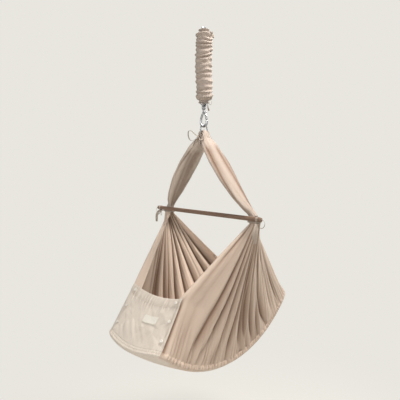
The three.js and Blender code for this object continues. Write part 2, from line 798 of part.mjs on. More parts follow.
function addStraps() {
  const { tied, tiedLow, all } = strapStations();
  for (const [name, side] of [['strap_near', -1], ['strap_far', 1]]) {
    add(name, loft(all.map((station) => strapSection(station, side))), 'cloth');
  }
  const halfX = tied.wide;
  const halfY = tied.reach + tied.thick;
  const section = strapSection(tied, 1);
  const fit = Math.max(...section.map((point) => Math.hypot(point.x / halfX, point.y / halfY)));
  const wrap = band(halfX * fit + clothGap, halfY * fit + clothGap, ribbonWidth);
  const bowShape = bow(apexBowLoop, apexBowTail, apexBowDrop, apexBowOff);
  bowShape.rotateZ(-Math.PI / 2);
  moved(bowShape, -halfX * fit - clothGap - ribbonThick - knotSize * knotSeatShare, 0, 0);
  const tie = add('apex_tie', joined(wrap, bowShape), 'ribbon');
  tie.position.set(0, 0, (tied.level + tiedLow.level) / 2);
}

// Spreader bar and the ribbons that tie the cloth to it

function addBar() {
  const half = barLength / 2;
  const radius = barDiameter / 2;
  const profile = [
    new THREE.Vector2(0, -half),
    new THREE.Vector2(radius - barChamfer, -half),
    new THREE.Vector2(radius, -half + barChamfer),
    new THREE.Vector2(radius, half - barChamfer),
    new THREE.Vector2(radius - barChamfer, half),
    new THREE.Vector2(0, half),
  ];
  const bar = add('spreader_bar', new THREE.LatheGeometry(profile, loopSteps), 'walnut');
  bar.position.set(0, 0, barZ);
  const neckOutX = neckThick / 2 + clothGap;
  const neckOutY = neckLong / 2 + clothGap;
  const bandDrop = radius + clothGap + ribbonWidth / 2;
  const outboard = neckReach + neckLong / 2 + clothGap + ribbonThick + ribbonWidth / 2;
  for (const [name, side] of [['bar_tie_near', -1], ['bar_tie_far', 1]]) {
    const neckBand = moved(band(neckOutX, neckOutY, ribbonWidth), neckX, side * neckReach, -bandDrop);
    const barBand = band(radius + seatGap, radius + seatGap, ribbonWidth);
    barBand.rotateX(Math.PI / 2);
    moved(barBand, 0, side * outboard, 0);
    const link = ribbon(
      [
        at(neckX - neckOutX * Math.SQRT1_2, side * (neckReach + neckOutY * Math.SQRT1_2), -bandDrop),
        at(radius / 2, side * (outboard - ribbonWidth / 2), -bandDrop),
        at(0, side * outboard, -radius - ribbonThick),
      ],
      at(0, 0, 1),
      4,
    );
    const bowShape = bow(barBowLoop, barBowTail, barBowDrop, barBowOff);
    bowShape.rotateZ((side * Math.PI) / 2 + Math.PI);
    moved(bowShape, 0, side * outboard, -radius - seatGap - knotSize / 2);
    const tie = add(name, joined(neckBand, link, barBand, bowShape), 'ribbon');
    tie.position.set(0, 0, barZ);
  }
}

// Base: a sagging arc of cloth with a low boxing and the mattress in it

const arcZ = barZ - baseArcDrop;
const halfBase = baseLength / 2;
const halfWide = baseWidth / 2;

// A point by its distance along the arc from the base's middle, across it, and up from its underside.
function basePoint(along, across, height) {
  const angle = (along + baseShift) / baseArcRadius;
  const sag = mix(sagMiddle, sagEnds, (along / halfBase) ** 2) * (1 - (across / halfWide) ** 2);
  const radius = baseArcRadius + sag - height;
  return at(radius * Math.sin(angle), across, arcZ - radius * Math.cos(angle));
}

const cornerRun = (Math.PI / 2) * baseCorner;
const endRun = halfWide - baseCorner;
const sideRun = 2 * (halfBase - baseCorner);
const outlineRun = 2 * endRun + 2 * cornerRun + sideRun;
const cornerDistance = endRun + cornerRun / 2; // from the middle of an end to the middle of its corner

// A point on half the base's outline, by the distance from the middle of the foot end.
function outline(distance, inset) {
  const radius = baseCorner - inset;
  const cornerAlong = halfBase - baseCorner;
  if (distance <= endRun) {
    return [-halfBase + inset, distance];
  }
  if (distance <= endRun + cornerRun) {
    const angle = (distance - endRun) / baseCorner;
    return [-cornerAlong - radius * Math.cos(angle), endRun + radius * Math.sin(angle)];
  }
  if (distance <= endRun + cornerRun + sideRun) {
    return [distance - endRun - cornerRun - cornerAlong, halfWide - inset];
  }
  const [along, across] = outline(outlineRun - distance, inset);
  return [-along, across];
}

// The base is a grid: rows from foot to head, and columns across, as shares of the half width there.
const columnShares = steps(baseColumns).map((share) => mix(-1, 1, share));
const endStops = columnShares.filter((share) => share >= 0 && share < 1).map((share) => share * endRun);
const rowStops = [
  ...steps(cornerRows).map((share) => endRun + cornerRun * share),
  ...steps(sideRows).slice(1).map((share) => endRun + cornerRun + sideRun * share),
  ...steps(cornerRows).slice(1).map((share) => endRun + cornerRun + sideRun + cornerRun * share),
];
const rimStops = [
  ...endStops,
  ...rowStops,
  ...endStops.map((distance) => outlineRun - distance).reverse(),
];

// A point on the rim, straight between the rim's corners. A distance below zero is on the other side.
function rimPoint(distance, inset, height, side) {
  const run = Math.min(Math.abs(distance), outlineRun);
  const half = side * (distance < 0 ? -1 : 1);
  const next = Math.max(1, rimStops.findIndex((stop) => stop >= run - sameStop));
  const [before, after] = [rimStops[next - 1], rimStops[next]];
  const corner = (stop) => {
    const [along, across] = outline(stop, inset);
    return basePoint(along, across * half, height);
  };
  return corner(before).lerp(corner(after), between((run - before) / (after - before)));
}

// A tray or pad over the whole base, as levels of inset and height from its lower face to its upper.
function baseBody(levels, crown) {
  const width = columnShares.length;
  const grid = ([inset, height], lift) =>
    rowStops.map((stop) => {
      const [along, across] = outline(stop, inset);
      return columnShares.map((share) => {
        const raised = lift * (1 - share * share) * (1 - (along / halfBase) ** 4);
        return basePoint(along, across * share, height + raised);
      });
    });
  const lower = grid(levels[0], 0);
  const upper = grid(levels[levels.length - 1], crown);
  const around = (rows) => [
    ...rows[0],
    ...rows.slice(1, -1).map((row) => row[width - 1]),
    ...rows[rows.length - 1].slice().reverse(),
    ...rows.slice(1, -1).map((row) => row[0]).reverse(),
  ];
  const corners = [...lower.flat(), ...upper.flat()];
  const count = rowStops.length * width;
  const index = (row, column, face) => face * count + row * width + column;
  const faces = [];
  for (let row = 0; row + 1 < rowStops.length; row += 1) {
    for (let column = 0; column + 1 < width; column += 1) {
      for (const face of [0, 1]) {
        const square = [
          index(row, column, face),
          index(row, column + 1, face),
          index(row + 1, column + 1, face),
          index(row + 1, column, face),
        ];
        const [a, b, c, d] = face === 0 ? square : square.reverse();
        faces.push([a, b, c], [a, c, d]);
      }
    }
  }
  const numbers = (face) => {
    const rows = rowStops.map((_, row) => columnShares.map((__, column) => index(row, column, face)));
    return around(rows);
  };
  const rings = levels.slice(1, -1).map((level) => {
    const ring = around(grid(level, 0));
    const start = corners.length;
    corners.push(...ring);
    return ring.map((_, i) => start + i);
  });
  const walls = [numbers(0), ...rings, numbers(1)];
  for (let level = 0; level + 1 < walls.length; level += 1) {
    const [low, high] = [walls[level], walls[level + 1]];
    low.forEach((_, i) => {
      const next = (i + 1) % low.length;
      faces.push([low[next], low[i], high[i]], [low[next], high[i], high[next]]);
    });
  }
  return closedBody(corners, faces);
}

function addBase() {
  const wall = clothThickness;
  const bulge = boxingBulge;
  const tray = baseBody(
    [
      [bulge * 2, 0],
      [0, wall],
      [-bulge, boxingHeight / 2],
      [0, boxingHeight],
      [wall, boxingHeight],
      [wall - bulge, boxingHeight / 2],
      [wall + bulge, wall],
    ],
    0,
  );
  add('base_panel', tray, 'cloth');
  const low = wall + mattressClear;
  const inset = wall + mattressInset;
  const pad = baseBody(
    [
      [inset + mattressEdge, low],
      [inset, low + mattressEdge * mattressLowShare],
      [inset, low + mattressThick - mattressEdge],
      [
        inset + mattressEdge * mattressTopInsetShares[0],
        low + mattressThick - mattressEdge * mattressTopDropShare,
      ],
      [inset + mattressEdge * mattressTopInsetShares[1], low + mattressThick],
    ],
    mattressThick * mattressCrownShare,
  );
  add('mattress', pad, 'mattress');
}

// Side panels, gathered at the neck and fanned out to the base's rim

const rimHeight = boxingHeight + seatGap;
const neckZ = barZ - neckLength;

// Where the gathered cloth leaves the neck: round the outboard side of an oval beside the bar.
function neckPoint(share, level, side) {
  const angle = Math.PI * (0.5 + neckWrap * (0.5 - share));
  const reachX = (neckThick - clothThickness) / 2;
  const reachY = (neckLong - clothThickness) / 2;
  return at(neckX + reachX * Math.cos(angle), side * (neckReach + reachY * Math.sin(angle)), level);
}

// The flap's hem line, by a share from -1 (near) to 1 (far).
function flapTop(q) {
  const middle = 1 - q * q;
  return at(
    -flapTopReach - flapHemBelly * middle,
    q * flapTopHalf,
    barZ - flapTopDrop - flapHemSag * middle,
  );
}

// The head panel's top edge, hung between the side panels' back hems.
function headTop(q) {
  const corner = mixPoint(
    neckPoint(1, neckZ, 1),
    rimPoint(outlineRun - cornerDistance, 0, rimHeight, 1),
    headShare,
  );
  const middle = 1 - q * q;
  return at(corner.x + (headHemSag / 2) * middle, q * corner.y, corner.z - headHemSag * middle);
}

const mixPoint = (a, b, share) => a.clone().lerp(b, share);
const tent = (share, peak) => (share < peak ? share / peak : (1 - share) / (1 - peak));

// The middle of a side panel's cloth, by distance along the rim and share down from the neck.
function panelMiddle(distance, down, first, last, side) {
  const neck = neckPoint((distance - first) / (last - first), neckZ, side);
  const rim = rimPoint(distance, clothThickness / 2, rimHeight, side);
  const place = mixPoint(neck, rim, down);
  const drawn = Math.min(distance, cornerDistance);
  const drawnNeck = neckPoint((drawn - first) / (last - first), neckZ, side);
  const drawnRim = rimPoint(drawn, clothThickness / 2, rimHeight, side);
  const pull = flapTop((side * drawn) / cornerDistance).sub(mixPoint(drawnNeck, drawnRim, kinkShare));
  const fade = 1 - smooth((distance - cornerDistance) / pullReach);
  place.addScaledVector(pull, tent(down, kinkShare) * fade);
  const fromHead = outlineRun - distance;
  if (fromHead < cornerDistance + clothThickness) {
    const lift = headTop(side * Math.min(1, fromHead / cornerDistance)).sub(mixPoint(neck, rim, headShare));
    place.addScaledVector(lift, tent(down, headShare));
  }
  return place;
}

// Depth of the pleats: none on the smooth front and at both edges, broad folds near the head.
function pleat(distance, down, last) {
  const front = cornerDistance + smoothFront;
  const rear = last - broadStretch;
  const swell = Math.sqrt(down) * between((1 - down) * pleatFadeRate);
  if (distance < front || distance > last - clothThickness) {
    return 0;
  }
  if (distance < rear) {
    const share = (distance - front) / (rear - front);
    const rise = smooth(share * pleatRiseRate);
    return pleatDepth * swell * rise * Math.sin(2 * Math.PI * pleatCount * share);
  }
  const share = between((distance - rear) / (last - headOverlap - rear));
  return broadFoldDepth * swell * Math.sin(Math.PI * share) * Math.sin(Math.PI * broadFolds * share);
}

// The outward direction of a surface given by a function of two values.
const shareStep = 0.01;
function outward(surface, a, b, stepA, stepB, towards) {
  const alongA = surface(a + stepA, b).sub(surface(a - stepA, b));
  const alongB = surface(a, b + stepB).sub(surface(a, b - stepB));
  const normal = alongA.cross(alongB).normalize();
  return normal.dot(towards) < 0 ? normal.negate() : normal;
}

function sidePanel(overlap, side) {
  const first = cornerDistance * (1 - overlap / flapTopHalf);
  const last = outlineRun - cornerDistance + headOverlap;
  const stepAlong = clothThickness / 3;
  const middle = (distance, down) => panelMiddle(distance, down, first, last, side);
  const place = (offset) => (distance, down) => {
    const share = (distance - first) / (last - first);
    if (down < 0) {
      const heart = at(neckX, side * neckReach, 0);
      const edge = neckPoint(share, 0, side);
      const out = edge.clone().sub(heart).setZ(0).normalize();
      const level = mix(neckZ, barZ - seatGap / 2, -down);
      return edge.addScaledVector(out, (offset * clothThickness) / 2).setZ(level);
    }
    if (down > 1 - shareStep) {
      const inset = (clothThickness * (1 - offset)) / 2;
      return rimPoint(distance, inset, rimHeight, side);
    }
    const from = at(middle(distance, down).x, side * neckReach, 0);
    const level = Math.max(down, 2 * shareStep);
    const out = outward(middle, distance, level, stepAlong, shareStep, from);
    const depth = pleat(distance, down, last) + (offset * clothThickness) / 2;
    return middle(distance, down).addScaledVector(out, depth);
  };
  const front = cornerDistance + smoothFront;
  const rear = last - broadStretch;
  const peaks = steps(2 * pleatCount).slice(1).map((share) => mix(front, rear, share - 1 / (4 * pleatCount)));
  const folds = steps(broadColumns).map((share) => mix(rear, last - headOverlap, share));
  const columns = [first, cornerDistance, front, ...peaks, ...folds, last];
  const free = (stop) => columns.every((column) => Math.abs(column - stop) > clothThickness);
  const corners = rimStops.filter((stop) => stop > first && stop < last && (stop < front || stop > rear));
  columns.push(...corners.filter(free));
  columns.sort((a, b) => a - b);
  return sheet(columns, panelRowShares, place(1), place(-1));
}

function addPanels() {
  add('side_panel_near', sidePanel(nearOverlap, -1), 'cloth');
  add('side_panel_far', sidePanel(farOverlap, 1), 'cloth');
}

// Foot flap with its hem, elastic, label and snaps

// The middle of the panels' cloth at the foot end, by share across and share up from the rim.
function footMiddle(q, up) {
  const rim = rimPoint(q * cornerDistance, clothThickness / 2, rimHeight, 1);
  return mixPoint(rim, flapTop(q), up);
}

const flapRun = footMiddle(0, 0).distanceTo(footMiddle(0, 1));
const hemShare = 1 - flapHem / flapRun;
const flapHalfThick = (up) => (up > hemShare ? hemThick : clothThickness) / 2;

// A point off the flap's own middle layer, which lies on the outside of the side panels.
function flapPoint(q, up, offset) {
  const towards = at(-1, 0, 0);
  const level = Math.max(up, 2 * shareStep);
  const out = outward(footMiddle, q, level, shareStep, shareStep, towards);
  const clear = clothThickness / 2 + clothGap + flapHalfThick(up);
  const pucker = (1 - Math.cos(2 * Math.PI * flapPuckers * q)) / 2;
  const rise = between((up - puckerStartShare) / (1 - puckerStartShare)) ** 2;
  const depth = flapPuckerDepth * pucker * rise * smooth((1 - Math.abs(q)) * flapPuckers / 2);
  return footMiddle(q, up).addScaledVector(out, clear + depth + offset);
}

function flapFace(offsetShare) {
  return (q, up) => flapPoint(q, up, offsetShare * flapHalfThick(up));
}

function addFlap() {
  const stops = rimStops.filter((stop) => stop < cornerDistance).map((stop) => stop / cornerDistance);
  const columns = [...stops.map((q) => -q), ...stops.slice(1)];
  const close = 1 / (flapPuckers * (puckerColumns + 2));
  for (const share of steps(flapPuckers * puckerColumns)) {
    const q = mix(-1, 1, share);
    if (columns.every((column) => Math.abs(column - q) > close)) {
      columns.push(q);
    }
  }
  columns.sort((a, b) => a - b);
  const rows = [clothGap / flapRun, ...flapRowShares, hemShare, hemShare + shareStep, (1 + hemShare) / 2, 1];
  const flap = sheet(columns, rows, flapFace(1), flapFace(-1));
  const hemMiddle = (1 + hemShare) / 2;
  const strip = (width, thickness, reach) => {
    const half = width / flapRun / 2;
    return sheet(
      [-reach, ...columns.slice(1, -1), reach],
      [hemMiddle - half, hemMiddle + half],
      (q, up) => flapPoint(q, up, thickness / 2),
      (q, up) => flapPoint(q, up, -thickness / 2),
    );
  };
  const pastEdge = 1 + overrun / flapTopHalf;
  add('foot_flap', cut(flap, strip(tunnelWidth, tunnelThick, pastEdge)), 'flapCloth');
  add('flap_elastic', strip(elasticWidth, elasticThick, 1 - seatGap / flapTopHalf), 'elastic');
  const labelHalfQ = labelWidth / 2 / flapTopHalf;
  const labelHalfUp = labelHeight / 2 / flapRun;
  const labelFace = (layer) => (q, up) =>
    flapPoint(q, up, flapHalfThick(up) + seatGap + layer * labelThick);
  const label = sheet(
    steps(labelColumns).map((share) => labelAsideShare + mix(-labelHalfQ, labelHalfQ, share)),
    steps(labelRows).map((share) => labelRiseShare + mix(-labelHalfUp, labelHalfUp, share)),
    labelFace(1),
    labelFace(0),
  );
  add('label_patch', label, 'label');
}

// A snap's two halves on the flap's outside and the side panel's inside.
function addSnaps() {
  let number = 1;
  for (const [side, inset] of [[-1, nearSnapInset], [1, farSnapInset]]) {
    for (const up of snapRiseShares) {
      const q = side * (1 - inset / flapTopHalf);
      const out = outward(footMiddle, q, up, shareStep, shareStep, at(-1, 0, 0));
      const turn = new THREE.Quaternion().setFromUnitVectors(at(0, 1, 0), out);
      const seat = footMiddle(q, up);
      const round = Array.from({ length: wireSides + 1 }, (_, i) => {
        const reach = i === 0 ? 0 : snapDiameter / 2;
        const angle = (2 * Math.PI * i) / wireSides;
        return [q + (reach * Math.cos(angle)) / flapTopHalf, up + (reach * Math.sin(angle)) / flapRun];
      });
      const heights = (surface) => round.map(([a, b]) => surface(a, b).sub(seat).dot(out));
      const capOffset = Math.max(...heights(flapFace(1))) + clothGap / 2 + snapCapThick / 2;
      const inside = Math.min(...heights(footMiddle)) - clothThickness / 2;
      const studOffset = inside - clothGap / 2 - snapStudThick / 2;
      const radius = snapDiameter / 2;
      for (const [name, thick, offset, top] of [
        ['snap_cap', snapCapThick, capOffset, snapCapTopShare],
        ['snap_stud', snapStudThick, studOffset, 1],
      ]) {
        const disc = new THREE.CylinderGeometry(radius * top, radius, thick, wireSides + 2);
        const snap = add(`${name}_${number}`, disc, 'snap');
        snap.position.copy(seat.clone().addScaledVector(out, offset));
        snap.quaternion.copy(turn);
      }
      number += 1;
    }
  }
}

// Head panel, inside the side panels' back hems
function addHeadPanel() {
  const middle = (q, up) => {
    const distance = outlineRun - Math.abs(q) * cornerDistance;
    const rim = rimPoint(distance, clothThickness / 2, rimHeight, q < 0 ? -1 : 1);
    return mixPoint(rim, headTop(q), up);
  };
  const face = (layer) => (q, up) => {
    const level = Math.max(up, 2 * shareStep);
    const out = outward(middle, q, level, shareStep, shareStep, at(1, 0, 0));
    const clear = -clothThickness - headPanelGap;
    return middle(q, up).addScaledVector(out, clear + (layer * clothThickness) / 2);
  };
  const stops = rimStops.filter((stop) => stop < cornerDistance).map((stop) => stop / cornerDistance);
  const columns = [...stops, 1];
  const panel = sheet(
    [...columns.slice(1).reverse().map((q) => -q), ...columns],
    headRowShares,
    face(1),
    face(-1),
  );
  add('head_panel', panel, 'cloth');
}

addSpring();
addCover();
addCoverTies();
addHook();
addRing();
addStraps();
addBar();
addBase();
addPanels();
addFlap();
addSnaps();
addHeadPanel();

export default part;
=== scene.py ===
import math

import bmesh
import bpy
import numpy as np
from mathutils import Matrix, Vector


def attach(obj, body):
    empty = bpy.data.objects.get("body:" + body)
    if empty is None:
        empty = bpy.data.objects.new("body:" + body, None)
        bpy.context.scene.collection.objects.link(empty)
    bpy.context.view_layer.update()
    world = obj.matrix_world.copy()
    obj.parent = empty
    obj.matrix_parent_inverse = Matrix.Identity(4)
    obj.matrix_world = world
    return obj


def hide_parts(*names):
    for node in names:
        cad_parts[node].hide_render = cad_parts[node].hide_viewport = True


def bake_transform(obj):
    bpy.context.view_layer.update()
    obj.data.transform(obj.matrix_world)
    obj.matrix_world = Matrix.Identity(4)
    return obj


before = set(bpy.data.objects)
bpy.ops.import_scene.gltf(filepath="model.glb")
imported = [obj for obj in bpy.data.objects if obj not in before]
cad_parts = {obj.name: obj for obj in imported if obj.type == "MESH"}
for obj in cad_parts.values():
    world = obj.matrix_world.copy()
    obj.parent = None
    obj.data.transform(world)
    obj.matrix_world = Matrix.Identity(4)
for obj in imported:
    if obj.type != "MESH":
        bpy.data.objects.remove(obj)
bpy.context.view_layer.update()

bl_info = {
    "name": "Hanging baby cradle",
    "version": (1, 0, 0),
    "blender": (4, 5, 0),
    "location": "3D View > Sidebar > Cradle",
    "description": "Dresses the hanging cradle's frame in cloth, ribbon, wood and polished metal",
    "category": "Add Mesh",
}

# Lengths are in metres and angles in radians. The origin is the hanging point, inside the upper eye.
# X runs along the cradle with the foot end at -X, and Y along the spreader bar with the near end at -Y.
MM = 0.001

# Stations down the hanging line
EYE_WIRE = 5 * MM
EYE_RADIUS = 10.5 * MM
UPPER_EYE_Z = -8 * MM
LOWER_EYE_Z = -256 * MM
SPRING_TOP = -21 * MM
SPRING_BOTTOM = -243 * MM
COVER_TOP = -7 * MM
COVER_BOTTOM = -253 * MM
HOOK_EYE_Z = -268.2 * MM
HOOK_BEND_Z = -320.2 * MM
HINGE = (-6 * MM, -285.2 * MM)  # Y and Z of the gate's pivot
RING_Z = -343.9 * MM
CLOTH_TOP = -346.6 * MM
TIE_Z = -374.4 * MM
BAR_Z = -640 * MM

# Base and neck
ARC_Z = BAR_Z - 64 * MM
ARC_RADIUS = 448 * MM
HALF_BASE = 392 * MM
HALF_WIDE = 138 * MM
BASE_CORNER = 45 * MM
BASE_SHIFT = 22 * MM
SAG_MIDDLE = 6 * MM
SAG_ENDS = 29 * MM
BOXING = 20 * MM
CLOTH = 3 * MM
BAR_RADIUS = 7.5 * MM
NECK_X = 21.1 * MM
NECK_REACH = 207 * MM
NECK_LONG = 46 * MM
NECK_THICK = 26 * MM
NECK_Z = BAR_Z - 20 * MM

# Where the foot flap and the head panel draw the side panels in
FLAP_TOP_HALF = 117 * MM
FLAP_TOP_REACH = 220 * MM
FLAP_TOP_DROP = 234 * MM
FLAP_SAG = 15 * MM
FLAP_BELLY = 8 * MM
KINK_SHARE = 0.645
HEAD_SHARE = 0.62
HEAD_SAG = 16 * MM
PULL_REACH = 190 * MM


class CradleSettings(bpy.types.PropertyGroup):
    """Colours and sizes of the cradle's cloth, ribbons and wood."""

    cloth: bpy.props.FloatVectorProperty(
        name="Cloth", description="Colour of the cradle's cotton", subtype="COLOR", size=4,
        default=(0.60, 0.485, 0.395, 1), min=0, max=1,
    )
    flap_cloth: bpy.props.FloatVectorProperty(
        name="Flap cloth", description="Colour of the foot flap's lighter cotton", subtype="COLOR", size=4,
        default=(0.64, 0.575, 0.50, 1), min=0, max=1,
    )
    ribbon: bpy.props.FloatVectorProperty(
        name="Ribbon", description="Colour of the cotton tape", subtype="COLOR", size=4,
        default=(0.40, 0.335, 0.275, 1), min=0, max=1,
    )
    wood: bpy.props.FloatVectorProperty(
        name="Wood", description="Colour of the stained spreader bar", subtype="COLOR", size=4,
        default=(0.19, 0.115, 0.075, 1), min=0, max=1,
    )
    backdrop: bpy.props.FloatVectorProperty(
        name="Backdrop", description="Colour of the floor and backdrop", subtype="COLOR", size=4,
        default=(0.807, 0.791, 0.738, 1), min=0, max=1,
    )
    pleat_depth: bpy.props.FloatProperty(
        name="Pleat depth", description="Depth of the side panels' pleats", default=17 * MM,
        min=0, max=30 * MM, unit="LENGTH",
    )
    # strength of the painted shade at the folds' bottoms
    fold_shade: bpy.props.FloatProperty(
        name="Fold shade", description="How dark the folds' bottoms are", default=1.0, min=0, max=1
    )
    cover_fold: bpy.props.FloatProperty(
        name="Cover fold", description="Depth of the scrunched folds of the spring's cover",
        default=5.5 * MM, min=0, max=8 * MM, unit="LENGTH",
    )
    cloth_thickness: bpy.props.FloatProperty(
        name="Cloth thickness", description="Thickness of one layer of cotton", default=1.4 * MM,
        min=0.5 * MM, max=3 * MM, unit="LENGTH",
    )
    stitch_length: bpy.props.FloatProperty(
        name="Stitch length", description="From one stitch to the next", default=4 * MM,
        min=2 * MM, max=10 * MM, unit="LENGTH",
    )


def settings():
    return bpy.context.scene.cradle


# Numbers on arrays


def mix(a, b, share):
    return a + (b - a) * share


def between(share):
    return np.clip(share, 0, 1)


def smooth(share):
    share = between(share)
    return share * share * (3 - 2 * share)


def point(x, y, z):
    return np.stack(np.broadcast_arrays(np.asarray(x, float), y, z), axis=-1)


def unit(vectors):
    return vectors / np.maximum(np.linalg.norm(vectors, axis=-1, keepdims=True), 1e-12)


def fold_wave(turns):
    """A wave of flat-topped folds with steep sides, one for each whole turn."""
    height = np.sin(2 * np.pi * turns)
    return np.sign(height) * np.abs(height) ** 0.8


def pleat_wave(turns, lean=1):
    """Laid pleats, each a slow rise and a steep fall, from -0.5 to 0.5. lean -1 turns them round."""
    share = np.mod(turns * lean, 1.0)
    crest = 0.66
    rise = smooth(share / crest)
    fall = 1 - smooth((share - crest) / (1 - crest))
    return np.where(share < crest, rise, fall) - 0.5


def uneven(share, count, seed, spread=0.45):
    """Turns of a wave whose periods differ, and a strength for each place."""
    random = np.random.default_rng(seed)
    widths = 1 + spread * random.uniform(-1, 1, count)
    stops = np.concatenate([[0], np.cumsum(widths)]) / widths.sum()
    strengths = random.uniform(0.6, 1.0, count + 1)
    turns = np.interp(share, stops, np.arange(count + 1))
    return turns, np.interp(share, stops, strengths)


def wander(values, seed, scale=1.0):
    """Slow, irregular noise from -1 to 1 on an array of values."""
    random = np.random.default_rng(seed)
    total = np.zeros_like(np.asarray(values, float))
    for octave in range(4):
        rate = scale * (octave + 1) * random.uniform(0.7, 1.3)
        total = total + np.sin(2 * np.pi * (rate * values + random.uniform())) / (octave + 1)
    return total / 2


def run_of(path):
    """Lengths along a path."""
    return np.concatenate([[0], np.cumsum(np.linalg.norm(np.diff(path, axis=0), axis=1))])


def curve_through(points, count):
    """Points spread evenly on a smooth curve through the given ones."""
    points = np.asarray(points, float)
    padded = np.vstack([2 * points[0] - points[1], points, 2 * points[-1] - points[-2]])
    fine = []
    for i in range(len(points) - 1):
        a, b, c, d = padded[i : i + 4]
        t = np.linspace(0, 1, 24, endpoint=i == len(points) - 2)[:, None]
        fine.append(
            0.5 * (2 * b + (c - a) * t + (2 * a - 5 * b + 4 * c - d) * t**2 + (3 * b - a - 3 * c + d) * t**3)
        )
    fine = np.vstack(fine)
    run = run_of(fine)
    wanted = np.linspace(0, run[-1], count)
    return np.stack([np.interp(wanted, run, fine[:, k]) for k in range(3)], axis=1)


# Meshes


def linked(name, data):
    """A new object in the scene for a mesh, camera or light."""
    made = bpy.data.objects.new(name, data)
    bpy.context.collection.objects.link(made)
    return made


def round_off(mesh):
    """Shades all faces smooth."""
    mesh.polygons.foreach_set("use_smooth", np.ones(len(mesh.polygons), bool))


class Shell:
    """Corners, faces and cloth coordinates of one mesh, added to piece by piece."""

    def __init__(self):
        self.corners = []
        self.faces = []
        self.cloth = []
        self.count = 0

    def add(self, corners, faces, cloth=None):
        corners = np.asarray(corners, float).reshape(-1, 3)
        if cloth is None:
            cloth = corners[:, :2]
        self.corners.append(corners)
        self.cloth.append(np.asarray(cloth, float).reshape(-1, 2))
        self.faces += [[i + self.count for i in face] for face in faces]
        self.count += len(corners)
        return self

    def grid(self, corners, cloth=None, round_columns=False, round_rows=False):
        """Rows and columns of corners. A round direction closes on itself."""
        rows, columns = corners.shape[:2]
        number = np.arange(rows * columns).reshape(rows, columns)
        if round_columns:
            number = np.hstack([number, number[:, :1]])
        if round_rows:
            number = np.vstack([number, number[:1]])
        a, b = number[:-1, :-1], number[:-1, 1:]
        c, d = number[1:, 1:], number[1:, :-1]
        faces = np.stack([a, b, c, d], axis=-1).reshape(-1, 4).tolist()
        return self.add(corners, faces, cloth)

    def tube(self, path, radius, sides, capped=True):
        """A round tube along a path."""
        path = np.asarray(path, float)
        along = unit(np.gradient(path, axis=0))
        radius = np.broadcast_to(np.asarray(radius, float), len(path))
        up = np.array([0.0, 0.0, 1.0]) if abs(along[0][2]) < 0.8 else np.array([1.0, 0.0, 0.0])
        turn = 2 * np.pi * np.arange(sides) / sides
        rings = []
        for place, direction, size in zip(path, along, radius):
            up = unit(up - direction * np.dot(up, direction))
            side = np.cross(direction, up)
            rings.append(place + size * np.cos(turn)[:, None] * side + size * np.sin(turn)[:, None] * up)
        cloth = np.stack(np.broadcast_arrays(turn[None, :] * radius[:, None], run_of(path)[:, None]), axis=-1)
        return self.loft(np.array(rings), cloth, capped)

    def strip(self, path, across, width, thick, closed=False):
        """A flat ribbon along a path, as wide as given along the direction across it."""
        path = np.asarray(path, float)
        along = np.roll(path, -1, axis=0) - np.roll(path, 1, axis=0) if closed else np.gradient(path, axis=0)
        along = unit(along)
        across = np.broadcast_to(np.asarray(across, float), path.shape)
        across = unit(across - along * np.sum(across * along, axis=1, keepdims=True))
        flat = np.cross(along, across)
        turn = 2 * np.pi * np.arange(14) / 14
        side = np.sign(np.cos(turn)) * np.abs(np.cos(turn)) ** 0.5 * width / 2
        lift = np.sin(turn) * thick / 2
        rings = path[:, None] + side[None, :, None] * across[:, None] + lift[None, :, None] * flat[:, None]
        cloth = np.stack(np.broadcast_arrays(side[None, :], run_of(path)[:, None]), axis=-1)
        if closed:
            return self.grid(rings, cloth, round_columns=True, round_rows=True)
        return self.loft(rings, cloth)

    def loft(self, rings, cloth=None, capped=True):
        """A body through a row of rings with flat ends."""
        start = self.count
        self.grid(rings, cloth, round_columns=True)
        sides = rings.shape[1]
        if capped:
            last = start + (len(rings) - 1) * sides
            self.faces.append([start + i for i in reversed(range(sides))])
            self.faces.append([last + i for i in range(sides)])
        return self

    def band(self, middle, reach_x, reach_y, width, thick):
        """A ribbon laid round an oval in the plane across Z."""
        turn = 2 * np.pi * np.arange(72) / 72
        path = point(reach_x * np.cos(turn), reach_y * np.sin(turn), 0) + np.array(middle)
        return self.strip(path, (0, 0, 1), width, thick, closed=True)

    def lathe(self, profile, middle=(0, 0, 0), turn=None, sides=40):
        """A turned shape from (radius, height) pairs that start and end on the axis."""
        angle = 2 * np.pi * np.arange(sides) / sides
        rings = [
            point(radius * np.cos(angle), radius * np.sin(angle), height)
            for radius, height in profile
        ]
        corners = np.array(rings)
        if turn is not None:
            corners = corners @ np.array(turn).T
        return self.grid(corners + np.array(middle), round_columns=True)

    def torus(self, middle, radius, wire, turn=None, steps=64, sides=20):
        a = 2 * np.pi * np.arange(steps)[:, None] / steps
        b = 2 * np.pi * np.arange(sides)[None, :] / sides
        reach = radius + wire * np.cos(b)
        corners = point(reach * np.cos(a), reach * np.sin(a), wire * np.sin(b))
        if turn is not None:
            corners = corners @ np.array(turn).T
        return self.grid(corners + np.array(middle), round_columns=True, round_rows=True)

    def build(self, name, smooth_faces=True):
        mesh = bpy.data.meshes.new(name)
        corners = np.vstack(self.corners)
        cloth = np.vstack(self.cloth)
        mesh.from_pydata(corners.tolist(), [], self.faces)
        layer = mesh.uv_layers.new(name="cloth")
        loops = np.zeros(len(mesh.loops), int)
        mesh.loops.foreach_get("vertex_index", loops)
        layer.data.foreach_set("uv", cloth[loops].astype(np.float32).ravel())
        mesh.validate()
        mesh.update()
        made = linked(name, mesh)
        mend_normals(made)
        if smooth_faces:
            round_off(mesh)
        return made


def mend_normals(made):
    """Merges doubled corners and turns the faces outwards."""
    work = bmesh.new()
    work.from_mesh(made.data)
    bmesh.ops.remove_doubles(work, verts=work.verts, dist=1e-6)
    bmesh.ops.recalc_face_normals(work, faces=work.faces)
    work.to_mesh(made.data)
    work.free()
    made.data.update()


